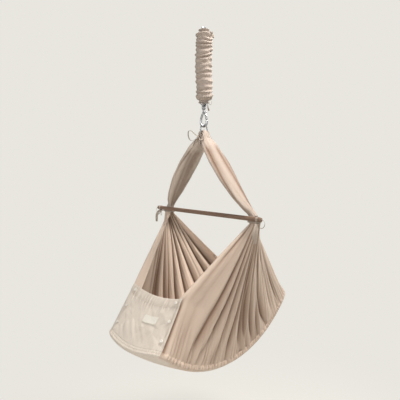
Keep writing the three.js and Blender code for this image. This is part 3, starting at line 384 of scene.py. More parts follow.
def surface_normals(corners, outward):
    """Normals of a grid of corners, turned to the side that the outward vectors point to."""
    normals = unit(np.cross(np.gradient(corners, axis=1), np.gradient(corners, axis=0)))
    facing = np.sum(normals * outward, axis=-1, keepdims=True)
    return np.where(facing < 0, -normals, normals)


def cloth_lengths(corners):
    """Cloth coordinates of a grid: lengths along the middle row and down each column."""
    middle = corners[len(corners) // 2]
    along = run_of(middle)
    steps = np.linalg.norm(np.diff(corners, axis=0), axis=-1).mean(axis=1)
    down = np.concatenate([[0], np.cumsum(steps)])
    return np.stack(np.broadcast_arrays(along[None, :], down[:, None]), axis=-1)


def area_of(corners):
    a, b, c, d = corners[:-1, :-1], corners[:-1, 1:], corners[1:, 1:], corners[1:, :-1]
    return float(np.linalg.norm(np.cross(c - a, d - b), axis=-1).sum() / 2)


def thicken(made, thickness, offset=0.0):
    solid = made.modifiers.new("Thickness", "SOLIDIFY")
    solid.thickness = thickness
    solid.offset = offset
    solid.use_even_offset = False
    return made


def settle(made):
    """Makes a piece's modifiers part of its mesh."""
    bpy.context.view_layer.update()
    graph = bpy.context.evaluated_depsgraph_get()
    mesh = bpy.data.meshes.new_from_object(made.evaluated_get(graph), depsgraph=graph)
    made.modifiers.clear()
    old = made.data
    made.data = mesh
    mesh.name = made.name
    bpy.data.meshes.remove(old)


def hollows(depth, reach, full, round_columns=False):
    """How far each place lies below its neighbours along the rows, 0 to 1."""
    kernel = np.hanning(2 * reach + 3)[1:-1]
    kernel = kernel / kernel.sum()
    padded = np.pad(depth, ((0, 0), (reach, reach)), mode="wrap" if round_columns else "edge")
    level = np.array([np.convolve(row, kernel, mode="valid") for row in padded])
    return between((level - depth) / full)


def shadow(made, outside, inside=None):
    """Stores each corner's painted shade, from how deep in a fold it lies (below 0 it is painted light), for
    both faces of a cloth that has its thickness.
    """
    outside = np.ravel(outside)
    inside = outside if inside is None else np.ravel(inside)
    values = np.concatenate([outside, inside]) if len(made.data.vertices) == 2 * len(outside) else outside
    layer = made.data.attributes.new("fold", "FLOAT", "POINT")
    layer.data.foreach_set("value", values.astype(np.float32))


def dress(made, finish, body, nodes=()):
    """Gives a piece its material, its body and the CAD nodes that it stands for."""
    made.data.materials.clear()
    made.data.materials.append(finish)
    if body is not None:
        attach(made, body)
    if nodes:
        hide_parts(*nodes)


# Shader nodes


class Value:
    """A shader socket that takes part in plain arithmetic."""

    def __init__(self, owner, socket):
        self.owner = owner
        self.socket = socket

    def maths(self, operation, first, second):
        return self.owner.node("ShaderNodeMath", {"operation": operation}, {0: first, 1: second})

    def __add__(self, other):
        return self.maths("ADD", self, other)

    __radd__ = __add__

    def __rsub__(self, other):
        return self.maths("SUBTRACT", other, self)

    def __mul__(self, other):
        return self.maths("MULTIPLY", self, other)

    def __pow__(self, other):
        return self.maths("POWER", self, other)

    def sine(self):
        return self.maths("SINE", self, 0.0)

    def absolute(self):
        return self.maths("ABSOLUTE", self, 0.0)

    def above(self, limit):
        return self.maths("GREATER_THAN", self, limit)


class Nodes:
    """A node tree that is filled node by node."""

    def __init__(self, tree):
        self.tree = tree
        tree.nodes.clear()

    def node(self, kind, choices=None, inputs=None, output=0):
        made = self.tree.nodes.new(kind)
        for name, choice in (choices or {}).items():
            if name == "stops":
                ramp = made.color_ramp
                for place, (position, colour) in enumerate(choice):
                    stop = ramp.elements[place] if place < 2 else ramp.elements.new(position)
                    stop.position = position
                    stop.color = colour
            else:
                setattr(made, name, choice)
        for name, value in (inputs or {}).items():
            if isinstance(value, Value):
                self.tree.links.new(value.socket, made.inputs[name])
            else:
                made.inputs[name].default_value = value
        return Value(self, made.outputs[output]) if made.outputs else None


class Finish(Nodes):
    """A material and its node tree."""

    def __init__(self, name):
        self.material = bpy.data.materials.new(name)
        self.material.use_nodes = True
        super().__init__(self.material.node_tree)

    def spot(self):
        """Object coordinates."""
        return self.node("ShaderNodeTexCoord", output="Object")

    def cloth(self):
        """The piece's own cloth coordinates, in metres."""
        return self.node("ShaderNodeUVMap", {"uv_map": "cloth"})

    def scaled(self, vector, scale):
        return self.node("ShaderNodeMapping", None, {"Vector": vector, "Scale": scale})

    def parts(self, vector):
        split = self.tree.nodes.new("ShaderNodeSeparateXYZ")
        self.tree.links.new(vector.socket, split.inputs[0])
        return [Value(self, socket) for socket in split.outputs]

    def noise(self, vector, scale, detail, roughness=0.5):
        inputs = {"Vector": vector, "Scale": scale, "Detail": detail, "Roughness": roughness}
        return self.node("ShaderNodeTexNoise", None, inputs)

    def blend(self, share, first, second):
        """A mix of two colours."""
        return self.node("ShaderNodeMix", {"data_type": "RGBA"}, {0: share, 6: first, 7: second}, output=2)

    def bump(self, height, distance, strength=1.0, normal=None):
        inputs = {"Height": height, "Distance": distance, "Strength": strength}
        if normal is not None:
            inputs["Normal"] = normal
        return self.node("ShaderNodeBump", None, inputs)

    def surface(self, **inputs):
        sockets = {name.replace("_", " "): value for name, value in inputs.items()}
        shader = self.node("ShaderNodeBsdfPrincipled", None, sockets)
        self.node("ShaderNodeOutputMaterial", None, {"Surface": shader})
        return self.material


def shade(colour, factor):
    """A colour made lighter or darker by a factor."""
    return (*[min(1.0, channel * factor) for channel in colour[:3]], 1.0)


# painted shade: the colour that the cloth is darkened to at the bottom of a fold
FOLD_SHADE_BROWN = (0.158, 0.078, 0.038, 1)  # at the bottom of a fold
# painted light: how much lighter the cloth is painted where light comes through and bounces
PAINTED_LIGHT_FACTOR = 1.55  # of the cloth's colour, where light comes through

FINISHES = {}


def finish_of(name):
    """A finish by name, made once."""
    if name not in FINISHES:
        FINISHES[name] = MAKERS[name](name)
    return FINISHES[name]


def woven(name, colour, foot_colour=None, crease=1.0):
    """Plain woven cotton: crossing threads, slubs, soft creases and slight fading, with painted shade and
    painted light from the fold attribute.
    """
    slubs = 0.10
    cotton = Finish(name)
    place = cotton.cloth()
    along, down, _ = cotton.parts(place)
    rate = 2 * math.pi / (0.9 * MM)
    warp = (along * rate).sine()
    weft = (down * rate).sine()
    weave = warp * weft
    slub = cotton.noise(cotton.scaled(place, (900.0, 45.0, 1.0)), 1.0, 2.0)
    slub_across = cotton.noise(cotton.scaled(place, (40.0, 850.0, 1.0)), 1.0, 2.0)
    creases = cotton.noise(cotton.scaled(place, (46.0, 9.0, 1.0)), 1.0, 5.0, 0.6)
    crumple = cotton.noise(cotton.spot(), 38.0, 6.0, 0.62)
    patches = cotton.noise(cotton.spot(), 7.0, 4.0)
    fine = cotton.noise(cotton.spot(), 420.0, 2.0)
    tint = cotton.blend(patches, shade(colour, 0.93), shade(colour, 1.05))
    if foot_colour is not None:
        along_cradle, _, _ = cotton.parts(cotton.spot())
        at_foot = cotton.node(
            "ShaderNodeMapRange", None,
            {"Value": along_cradle, "From Min": -0.27, "From Max": -0.30, "To Min": 0.0, "To Max": 1.0},
        )
        tint = cotton.blend(at_foot, tint, foot_colour)
    # the fold attribute paints shade into the cloth above 0 and paints light into it below 0
    deep = cotton.node("ShaderNodeAttribute", {"attribute_name": "fold"})
    tint = cotton.blend(deep * settings().fold_shade, tint, FOLD_SHADE_BROWN)
    tint = cotton.blend(deep * -1.0, tint, shade(colour, PAINTED_LIGHT_FACTOR))
    tint = cotton.blend(slub * slubs + slub_across * slubs, tint, shade(colour, 0.72))
    tint = cotton.blend((weave * 0.5 + 0.5) * 0.16, tint, shade(colour, 0.70))
    tint = cotton.blend(fine * 0.08, tint, shade(colour, 1.25))
    normal = cotton.bump(creases, 4.5 * MM * crease, 0.55)
    normal = cotton.bump(crumple, 1.4 * MM * crease, 0.5, normal)
    normal = cotton.bump(weave + slub + slub_across, 0.12 * MM, 0.6, normal)
    return cotton.surface(
        Base_Color=tint,
        Roughness=0.9 - fine * 0.1,
        Normal=normal,
        Sheen_Weight=0.12,
        Sheen_Roughness=0.5,
        Specular_IOR_Level=0.25,
    )


def cradle_cloth(name):
    return woven(name, settings().cloth)


def base_cloth(name):
    return woven(name, settings().cloth, settings().flap_cloth)


def toned(colour, factors):
    """A colour with its red, green and blue scaled apart."""
    return (*[channel * factor for channel, factor in zip(colour, factors)], 1)


def cover_cloth(name):
    # the cradle's cotton darkened and greyed: painted shade on the same cloth
    return woven(name, toned(settings().cloth, (0.70, 0.73, 0.77)), crease=0.6)


def strap_cloth(name):
    return woven(name, toned(settings().cloth, (0.90, 0.95, 1.0)), crease=0.5)


def flap_cloth(name):
    return woven(name, settings().flap_cloth, crease=0.8)


def ticking(name):
    """Undyed mattress cloth with fine paired stripes in the weave."""
    cotton = Finish(name)
    place = cotton.spot()
    _, across, _ = cotton.parts(place)
    stripe = (across * (2 * math.pi / (24 * MM))).sine().absolute().above(0.965)
    weave = (across * (2 * math.pi / (1.1 * MM))).sine()
    quilt = cotton.noise(place, 22.0, 4.0)
    fine = cotton.noise(place, 500.0, 2.0)
    tint = cotton.blend(fine * 0.2, (0.80, 0.76, 0.68, 1), (0.66, 0.60, 0.51, 1))
    tint = cotton.blend(stripe * 0.35, tint, (0.52, 0.44, 0.35, 1))
    normal = cotton.bump(quilt, 3 * MM, 0.5)
    normal = cotton.bump(weave + fine, 0.15 * MM, 0.5, normal)
    return cotton.surface(Base_Color=tint, Roughness=0.92, Normal=normal, Sheen_Weight=0.1)


def tape(name):
    """Narrow twill tape with diagonal ribs."""
    cotton = Finish(name)
    colour = settings().ribbon
    along, down, _ = cotton.parts(cotton.cloth())
    rib = ((along + down) * (2 * math.pi / (1.0 * MM))).sine()
    wear = cotton.noise(cotton.spot(), 90.0, 4.0)
    tint = cotton.blend(wear, shade(colour, 0.78), shade(colour, 1.15))
    tint = cotton.blend((rib * 0.5 + 0.5) * 0.25, tint, shade(colour, 0.55))
    normal = cotton.bump(wear, 1.2 * MM, 0.4)
    normal = cotton.bump(rib, 0.15 * MM, 0.7, normal)
    return cotton.surface(Base_Color=tint, Roughness=0.88, Normal=normal, Sheen_Weight=0.1)


def polished(name):
    """Chromed steel with faint wipe marks, which also dull it in places."""
    metal = Finish(name)
    smear = metal.noise(metal.spot(), 160.0, 4.0)
    speck = metal.noise(metal.spot(), 900.0, 2.0)
    tint = metal.blend(smear, (0.34, 0.345, 0.355, 1), (0.47, 0.475, 0.485, 1))
    normal = metal.bump(smear + speck * 0.3, 0.08 * MM, 0.25)
    return metal.surface(Base_Color=tint, Metallic=1.0, Roughness=0.2 + smear * 0.16, Normal=normal)


def plated(name):
    """Zinc plated spring wire."""
    metal = Finish(name)
    smear = metal.noise(metal.spot(), 240.0, 5.0)
    tint = metal.blend(smear, (0.36, 0.37, 0.38, 1), (0.55, 0.56, 0.57, 1))
    normal = metal.bump(smear, 0.1 * MM, 0.4)
    return metal.surface(Base_Color=tint, Metallic=1.0, Roughness=0.28 + smear * 0.2, Normal=normal)


def stained(name):
    """Dark stained wood with grain along Y."""
    wood = Finish(name)
    colour = settings().wood
    place = wood.spot()
    stretched = wood.scaled(place, (220.0, 9.0, 220.0))
    grain = wood.noise(stretched, 1.0, 6.0, 0.65)
    pores = wood.noise(wood.scaled(place, (900.0, 40.0, 900.0)), 1.0, 2.0)
    rings = wood.node(
        "ShaderNodeTexWave",
        {"wave_type": "RINGS", "rings_direction": "Y"},
        {"Vector": wood.scaled(place, (1.0, 0.08, 1.0)), "Scale": 260.0, "Distortion": 5.0, "Detail": 3.0},
    )
    tint = wood.blend(grain, shade(colour, 0.55), shade(colour, 1.5))
    tint = wood.blend(rings * 0.35, tint, shade(colour, 0.6))
    tint = wood.blend(pores.above(0.62) * 0.5, tint, shade(colour, 0.35))
    normal = wood.bump(grain, 0.5 * MM, 0.4)
    normal = wood.bump(pores, 0.2 * MM, 0.4, normal)
    return wood.surface(
        Base_Color=tint, Roughness=0.42 + grain * 0.2, Normal=normal, Coat_Weight=0.15, Coat_Roughness=0.35
    )


def woven_label(name):
    """Blank woven patch, tightly set threads."""
    patch = Finish(name)
    along, down, _ = patch.parts(patch.cloth())
    ribs = (down * (2 * math.pi / (0.7 * MM))).sine() * (along * (2 * math.pi / (0.7 * MM))).sine()
    wear = patch.noise(patch.spot(), 120.0, 4.0)
    tint = patch.blend(wear, (0.67, 0.645, 0.575, 1), (0.73, 0.705, 0.635, 1))
    tint = patch.blend((ribs * 0.5 + 0.5) * 0.15, tint, (0.62, 0.57, 0.48, 1))
    normal = patch.bump(ribs, 0.12 * MM, 0.6)
    return patch.surface(Base_Color=tint, Roughness=0.8, Normal=normal)


def elastic_web(name):
    web = Finish(name)
    along, _, _ = web.parts(web.cloth())
    ribs = (along * (2 * math.pi / (1.6 * MM))).sine()
    tint = web.blend(ribs * 0.5 + 0.5, (0.72, 0.72, 0.70, 1), (0.88, 0.88, 0.85, 1))
    return web.surface(Base_Color=tint, Roughness=0.85, Normal=web.bump(ribs, 0.3 * MM, 0.7))


def snap_resin(name):
    """Satin moulded snap, a little yellowed."""
    resin = Finish(name)
    haze = resin.noise(resin.spot(), 300.0, 3.0)
    tint = resin.blend(haze, (0.62, 0.585, 0.52, 1), (0.72, 0.685, 0.62, 1))
    normal = resin.bump(haze, 0.1 * MM, 0.3)
    return resin.surface(Base_Color=tint, Roughness=0.35 + haze * 0.15, Normal=normal)


def thread(name):
    yarn = Finish(name)
    colour = settings().flap_cloth
    twist = yarn.noise(yarn.spot(), 900.0, 2.0)
    tint = yarn.blend(twist, shade(colour, 0.8), shade(colour, 1.1))
    return yarn.surface(Base_Color=tint, Roughness=0.8, Normal=yarn.bump(twist, 0.15 * MM, 0.6))


MAKERS = {
    "cradle_cloth": cradle_cloth,
    "base_cloth": base_cloth,
    "cover_cloth": cover_cloth,
    "strap_cloth": strap_cloth,
    "flap_cloth": flap_cloth,
    "ticking": ticking,
    "tape": tape,
    "polished": polished,
    "plated": plated,
    "stained": stained,
    "woven_label": woven_label,
    "elastic_web": elastic_web,
    "snap_resin": snap_resin,
    "thread": thread,
}

# The cradle's shape, on arrays

CORNER_RUN = math.pi / 2 * BASE_CORNER
END_RUN = HALF_WIDE - BASE_CORNER
SIDE_RUN = 2 * (HALF_BASE - BASE_CORNER)
OUTLINE_RUN = 2 * END_RUN + 2 * CORNER_RUN + SIDE_RUN
CORNER_PLACE = END_RUN + CORNER_RUN / 2
RIM = BOXING + 0.3 * MM


def base_point(along, across, height):
    """A point of the base by its distance along the arc, across it, and up from its underside."""
    angle = (along + BASE_SHIFT) / ARC_RADIUS
    sag = mix(SAG_MIDDLE, SAG_ENDS, (along / HALF_BASE) ** 2) * (1 - (across / HALF_WIDE) ** 2)
    radius = ARC_RADIUS + sag - height
    return point(radius * np.sin(angle), across, ARC_Z - radius * np.cos(angle))


def outline(distance, inset):
    """Half the base's outline, by the distance from the middle of the foot end."""
    distance = np.asarray(distance, float)
    from_end = np.minimum(distance, OUTLINE_RUN - distance)
    angle = np.clip((from_end - END_RUN) / BASE_CORNER, 0, math.pi / 2)
    radius = BASE_CORNER - inset
    along = -(HALF_BASE - BASE_CORNER) - radius * np.cos(angle)
    across = np.minimum(from_end, END_RUN) + radius * np.sin(angle)
    straight = np.clip(from_end - END_RUN - CORNER_RUN, 0, SIDE_RUN)
    along = along + straight
    return np.where(distance <= OUTLINE_RUN / 2, along, -along), across


def rim_point(distance, inset, height, side):
    """A point on the rim. A distance below zero is on the other side."""
    along, across = outline(np.abs(distance), inset)
    return base_point(along, across * side * np.where(distance < 0, -1, 1), height)


def neck_point(share, level, side):
    angle = math.pi * (0.5 + 1.44 * (0.5 - share))
    return point(
        NECK_X + (NECK_THICK - CLOTH) / 2 * np.cos(angle),
        side * (NECK_REACH + (NECK_LONG - CLOTH) / 2 * np.sin(angle)),
        level,
    )


def flap_top(q):
    middle = 1 - q * q
    level = BAR_Z - FLAP_TOP_DROP - FLAP_SAG * middle
    return point(-FLAP_TOP_REACH - FLAP_BELLY * middle, q * FLAP_TOP_HALF, level)


def head_top(q):
    corner = mix(neck_point(1.0, NECK_Z, 1), rim_point(OUTLINE_RUN - CORNER_PLACE, 0, RIM, 1), HEAD_SHARE)
    middle = 1 - q * q
    return point(corner[0] + HEAD_SAG / 2 * middle, q * corner[1], corner[2] - HEAD_SAG * middle)


def tent(share, peak):
    return np.where(share < peak, share / peak, (1 - share) / (1 - peak))


def tent_smooth(share, peak):
    return smooth(share / peak) * (1 - smooth((share - peak) / (0.62 * (1 - peak))))


def panel_middle(distance, down, first, last, side):
    """The middle of a side panel's cloth, by distance along the rim and share down from the neck."""
    down = down[..., None]
    neck = neck_point((distance - first) / (last - first), NECK_Z, side)
    rim = rim_point(distance, CLOTH / 2, RIM, side)
    place = mix(neck, rim, down)
    drawn = np.minimum(distance, CORNER_PLACE)
    drawn_neck = neck_point((drawn - first) / (last - first), NECK_Z, side)
    drawn_rim = rim_point(drawn, CLOTH / 2, RIM, side)
    pull = flap_top(side * drawn / CORNER_PLACE) - mix(drawn_neck, drawn_rim, KINK_SHARE)
    fade = 1 - smooth((distance - CORNER_PLACE) / PULL_REACH)
    place = place + pull * tent(down, KINK_SHARE) * fade[..., None]
    from_head = OUTLINE_RUN - distance
    lift = head_top(side * np.minimum(1, from_head / CORNER_PLACE)) - mix(neck, rim, HEAD_SHARE)
    near_head = (from_head < CORNER_PLACE + CLOTH)[..., None]
    return place + np.where(near_head, lift * tent(down, HEAD_SHARE), 0)


def foot_middle(q, up):
    rim = rim_point(q * CORNER_PLACE, CLOTH / 2, RIM, 1)
    return mix(rim, flap_top(q), np.asarray(up)[..., None])


class CradleOperator(bpy.types.Operator):
    """Makes one group of the cradle's pieces."""

    bl_options = {"REGISTER", "UNDO"}

    def execute(self, context):
        self.make(context.scene.cradle)
        return {"FINISHED"}


class CRADLE_OT_stage(CradleOperator):
    """Sets the camera at the photograph's angle, the pale floor and the soft lights."""

    bl_idname = "cradle.stage"
    bl_label = "Stage, camera and lights"

    def make(self, chosen):
        self.camera()
        self.world(chosen.backdrop)
        self.floor(chosen.backdrop)
        self.lights()
        bpy.context.scene.view_settings.view_transform = "Standard"

    def camera(self):
        """The photograph's camera, fitted to the spreader bar, hanging line and base."""
        azimuth = math.radians(46.19)
        tilt = math.radians(5.62)
        focal_share = 394.88 / 400
        distance = 1412.8 * MM
        aside = -13.61 * MM
        aim = Vector((0, 0, -593.4 * MM))
        right = Vector((math.cos(azimuth), -math.sin(azimuth), 0))
        level = math.cos(tilt)
        ahead = Vector((math.sin(azimuth) * level, math.cos(azimuth) * level, -math.sin(tilt)))
        up = right.cross(ahead)
        data = bpy.data.cameras.new("Camera")
        data.sensor_width = 36
        data.lens = focal_share * data.sensor_width
        data.clip_start = 0.05
        camera = linked("Camera", data)
        turn = Matrix((right, up, -ahead)).transposed().to_4x4()
        camera.matrix_world = Matrix.Translation(aim - ahead * distance + right * aside) @ turn
        bpy.context.scene.camera = camera

    def world(self, colour):
        """A soft surround for light, strips for the metal to reflect and a plain backdrop."""
        world = bpy.data.worlds.new("Studio")
        bpy.context.scene.world = world
        world.use_nodes = True
        sky = Nodes(world.node_tree)
        light = sky.node("ShaderNodeBackground", None, {"Color": (1.0, 0.965, 0.93, 1), "Strength": 0.38})
        seen = sky.node("ShaderNodeBackground", None, {"Color": colour, "Strength": 1.0})
        place = sky.node("ShaderNodeTexCoord", output="Generated")
        inputs = {"Vector": place, "Scale": 0.55, "Distortion": 1.5}
        strips = sky.node("ShaderNodeTexWave", None, inputs, "Fac")
        stops = ((0.38, (0.05, 0.05, 0.055, 1)), (0.72, (0.75, 0.75, 0.76, 1)))
        studio = sky.node("ShaderNodeValToRGB", {"stops": stops}, {"Fac": strips})
        reflected = sky.node("ShaderNodeBackground", None, {"Color": studio})
        glossy = sky.node("ShaderNodeLightPath", output="Is Glossy Ray")
        direct = sky.node("ShaderNodeLightPath", output="Is Camera Ray")
        lit = sky.node("ShaderNodeMixShader", None, {0: glossy, 1: light, 2: reflected})
        every_ray = sky.node("ShaderNodeMixShader", None, {0: direct, 1: lit, 2: seen})
        sky.node("ShaderNodeOutputWorld", None, {"Surface": every_ray})

    def floor(self, colour):
        """A pale floor under the cradle that keeps its shadow and fades into the backdrop."""
        level = -1.62
        radius = 14.0
        turn = 2 * np.pi * np.arange(64) / 64
        disc = Shell().add(point(radius * np.cos(turn), radius * np.sin(turn), level), [list(range(64))])
        floor = disc.build("floor", smooth_faces=False)
        paint = Finish("pale_floor")
        x, y, _ = paint.parts(paint.spot())
        reach = (x * x + y * y) ** 0.5
        fade = paint.node(
            "ShaderNodeMapRange",
            {"interpolation_type": "SMOOTHSTEP"},
            {"Value": reach, "From Min": 0.3, "From Max": 1.3, "To Min": 0.72, "To Max": 1.0},
        )
        direct = paint.node("ShaderNodeLightPath", output="Is Camera Ray")
        glossy = paint.node("ShaderNodeLightPath", output="Is Glossy Ray")
        seen = direct.maths("MAXIMUM", direct, glossy)
        glow = paint.node("ShaderNodeEmission", None, {"Color": colour, "Strength": 1.0})
        matte = paint.node("ShaderNodeBsdfDiffuse", None, {"Color": shade(colour, 1.0)})
        mixed = paint.node("ShaderNodeMixShader", None, {0: seen * fade, 1: matte, 2: glow})
        paint.node("ShaderNodeOutputMaterial", None, {"Surface": mixed})
        floor.data.materials.append(paint.material)

    def lights(self):
        aim = Vector((0, 0, -0.75))
        for name, place, size, power, colour in (
            ("Key light", (-2.0, -0.5, 0.1), 1.0, 19, (1.0, 0.985, 0.97)),
            ("Front fill", (-0.9, -2.2, -0.5), 1.6, 5, (1.0, 0.975, 0.95)),
            ("Side light", (1.7, -1.7, 0.2), 1.0, 6, (1.0, 0.95, 0.90)),
            ("Top fill", (0.6, -0.8, 1.3), 0.8, 76, (1.0, 0.965, 0.93)),
        ):
            data = bpy.data.lights.new(name, "AREA")
            data.shape = "SQUARE"
            data.size = size
            data.energy = power
            data.color = colour
            lamp = linked(name, data)
            lamp.location = place
            lamp.rotation_euler = (aim - Vector(place)).to_track_quat("-Z", "Y").to_euler()


class CRADLE_OT_panels(CradleOperator):
    """Makes both pleated side panels, gathered at the bar and fanned out to the base."""

    bl_idname = "cradle.panels"
    bl_label = "Side panels"

    front_slack = 12 * MM
    columns = 520
    neck_rows = 9
    seam_rows = 12

    # creases as (places along the panel at each stop down it, their depths there)
    stops = (0.1, 0.35, 0.65, 0.95)
    near_creases = (
        ((0.225, 0.243, 0.200, 0.176), (0.80, 0.95, 0.70, 0.50)),
        ((0.300, 0.325, 0.272, 0.240), (0.70, 0.85, 0.70, 0.30)),
        ((0.365, 0.395, 0.337, 0.345), (0.80, 0.90, 0.65, 0.50)),
        ((0.425, 0.460, 0.420, 0.430), (0.60, 0.80, 0.70, 0.55)),
        ((0.480, 0.497, 0.478, 0.530), (0.80, 0.95, 0.90, 0.80)),
        ((0.510, 0.525, 0.518, 0.577), (0.10, 0.20, 0.70, 0.50)),
        ((0.545, 0.560, 0.585, 0.635), (0.90, 0.85, 1.00, 0.80)),
        ((0.625, 0.650, 0.701, 0.750), (0.80, 1.00, 0.95, 0.80)),
        ((0.630, 0.640, 0.660, 0.678), (0.00, 0.10, 0.35, 0.85)),
        ((0.710, 0.768, 0.798, 0.822), (0.65, 0.45, 0.25, 0.30)),
        ((0.850, 0.870, 0.868, 0.892), (0.25, 0.20, 0.55, 0.40)),
        ((0.945, 0.980, 0.983, 0.985), (0.70, 0.55, 0.45, 0.20)),
        ((0.085, 0.070, 0.075, 0.078), (0.75, 0.25, 0.05, 0.15)),
        ((0.150, 0.135, 0.120, 0.105), (0.10, 0.12, 0.08, 0.25)),
    )
    far_creases = (
        ((0.060, 0.050, 0.055, 0.050), (0.70, 0.40, 0.15, 0.10)),
        ((0.130, 0.134, 0.162, 0.170), (0.80, 0.90, 0.55, 0.30)),
        ((0.190, 0.214, 0.250, 0.255), (0.50, 0.50, 0.30, 0.30)),
        ((0.265, 0.285, 0.287, 0.290), (0.60, 0.70, 0.70, 0.50)),
        ((0.341, 0.309, 0.325, 0.330), (0.95, 0.90, 0.90, 0.60)),
        ((0.400, 0.393, 0.408, 0.415), (0.50, 0.90, 0.90, 0.70)),
        ((0.470, 0.459, 0.448, 0.450), (0.50, 0.60, 0.85, 0.60)),
        ((0.575, 0.547, 0.520, 0.510), (0.90, 0.95, 0.90, 0.60)),
        ((0.619, 0.615, 0.610, 0.610), (0.85, 0.95, 0.80, 0.60)),
        ((0.673, 0.701, 0.712, 0.720), (0.85, 1.00, 0.75, 0.60)),
        ((0.760, 0.765, 0.772, 0.775), (0.95, 0.25, 0.25, 0.30)),
        ((0.834, 0.818, 0.845, 0.850), (0.80, 0.95, 0.90, 0.60)),
        ((0.880, 0.890, 0.917, 0.925), (0.30, 0.95, 0.90, 0.60)),
    )

    def make(self, chosen):
        for name, side, overlap, creases, seed in (
            ("side_panel_near", -1, 22 * MM, self.near_creases, 3),
            ("side_panel_far", 1, 42 * MM, self.far_creases, 8),
        ):
            self.panel(chosen, name, side, overlap, creases, seed)

    def panel(self, chosen, name, side, overlap, creases, seed):
        first = CORNER_PLACE * (1 - overlap / FLAP_TOP_HALF)
        last = OUTLINE_RUN - CORNER_PLACE + 12 * MM
        rows = [np.linspace(0, 0.05, 7)[:-1], np.linspace(0.05, 0.9, 52)[:-1], np.linspace(0.9, 1, 12)]
        distance, down = np.meshgrid(np.linspace(first, last, self.columns), np.concatenate(rows))
        drawn_back = self.front_slack * (side < 0) * tent_smooth(down, KINK_SHARE - 0.03)
        distance = distance + drawn_back * (last - distance) / (last - first)
        middle = panel_middle(distance, down, first, last, side)
        away = point(middle[..., 0], side * NECK_REACH, 0)
        normals = surface_normals(middle, away)
        depth, dark = self.folds(chosen, distance, down, creases, seed, -side)
        cloth = middle + normals * depth[..., None]
        cloth, depth = self.neck(cloth, depth, distance[0], first, last, side)
        cloth, depth = self.seam(cloth, depth, distance[-1], side, seed)
        made = Shell().grid(cloth, cloth_lengths(cloth)).build(name)
        thicken(made, chosen.cloth_thickness)
        settle(made)
        # painted shade: the creases' shade is carried up the neck and down the seam, with more in the
        # puckers' hollows and the pleats' valleys
        scale = (1.5 + 7 * np.clip(np.linspace(-0.1, 1, len(depth)), 0, 1))[:, None] * MM
        share = (distance[-1] - first) / (last - first)
        pucker_shade = between(-1.5 * self.puckers(share, seed)) * smooth((share - 0.04) * 20)
        low = dark[-1:] * np.linspace(0.8, 0, self.seam_rows)[:, None]
        low = low + 0.45 * pucker_shade * np.sin(np.linspace(0.5, 3.1, self.seam_rows))[:, None]
        dark = np.concatenate([np.repeat(dark[:1], self.neck_rows, axis=0), dark, low])
        valley, ridge = hollows(depth / scale, 12, 1.6), hollows(-depth / scale, 12, 1.6)
        if side < 0:
            valley = between(valley + dark)
        else:
            # painted light on the far panel's inside, where light comes through, growing towards the head end
            through = 0.15 + 0.85 * smooth((share - 0.36) / 0.28)
            ridge = between(ridge + dark)
            ridge = ridge - 0.8 * through * (1 - ridge)
        facing = self.first_face_faces(made, away[len(away) // 2, self.columns // 2])
        shadow(made, valley if facing > 0 else ridge, ridge if facing > 0 else valley)
        dress(made, finish_of("cradle_cloth"), "cradle", [name])
        area = area_of(cloth)

    def first_face_faces(self, made, away):
        """Above 0 if the first half of the corners is the cloth's face on the side that away points to."""
        half = len(made.data.vertices) // 2
        middle = 40 * self.columns + self.columns // 2  # in a row well below the neck
        apart = made.data.vertices[middle].co - made.data.vertices[middle + half].co
        return apart.dot(Vector(away))

    def folds(self, chosen, distance, down, creases, seed, way):
        """How far the cloth stands out or in, and the painted shade of its creases and of the strip beside
        the flap. way 1 folds inwards, -1 outwards.
        """
        share = (distance - distance[0, 0]) / (distance[0, -1] - distance[0, 0])
        wide = 5 * MM + 62 * MM * down
        limit = np.minimum(chosen.pleat_depth, 0.36 * wide)
        foot = 0.25 + 0.75 * smooth((1 - down) * 6)
        depth = np.zeros_like(share)
        random = np.random.default_rng(seed)
        for places, depths in creases:
            curve = np.polyfit(self.stops, places, 2)
            where = np.polyval(curve, down) + 0.002 * np.sin(7 * down + random.uniform(0, 6))
            deep = np.interp(down, self.stops, depths)
            near, far = random.uniform(0.012, 0.017), random.uniform(0.017, 0.024)
            away = share - where
            away = np.abs(away) / np.where(away < 0, near, far)
            depth = depth - deep * np.exp(-(away**1.5))
        # painted shade in the creases, weaker towards the seam
        dark = between(-1.2 * depth) ** 0.62 * (0.5 + 0.5 * smooth((1 - down) * 5))
        arch = 0.16 * np.sin(2 * np.pi * 9 * share + 2 * np.sin(3 * down)) * smooth((share - 0.14) * 12)
        corner = 1 - 0.85 * smooth((share - 0.9) / 0.07) * smooth((down - 0.7) / 0.25)
        depth = limit * foot * corner * (depth + arch * smooth((0.95 - share) * 12))
        fine_turns, fine_strength = uneven(share + 0.01 * np.sin(4 * down), 41, seed + 6)
        fine = 0.10 * limit * fine_strength * pleat_wave(fine_turns) * smooth((share - 0.17) * 14)
        soft = 1.4 * MM * wander(1.6 * share + 0.5 * down, seed + 4, 1.3)
        soft = soft * smooth(down * 3) * smooth((1 - down) * 8)
        low_turns, low_strength = uneven(share, 36, seed + 9, 0.6)
        gathers = 6.5 * MM * low_strength * pleat_wave(low_turns + 0.35 * np.sin(4 * down))
        gathers = gathers * smooth((down - 0.72) / 0.26) * (0.35 + 0.65 * smooth((0.8 - share) / 0.2))
        behind_flap = smooth((distance - CORNER_PLACE - 6 * MM) / (30 * MM))
        from_flap = np.abs(distance - CORNER_PLACE - 7 * MM) / (7 * MM)
        groove = -5 * MM * np.exp(-(from_flap**2)) * smooth((down - 0.55) / 0.12)
        depth = (depth + fine) * way + soft + (gathers + groove) * behind_flap
        # painted shadow that the flap's edge casts on the near panel
        from_edge = (distance - CORNER_PLACE - 4 * MM) / (6 * MM)
        flap_edge_shadow = np.exp(-(from_edge**2)) * smooth((down - 0.6) / 0.1)
        return depth, between(dark + 0.95 * flap_edge_shadow * (way > 0))

    def puckers(self, share, seed):
        turns, strength = uneven(share, 70, seed + 10, 0.9)
        return strength * pleat_wave(turns)

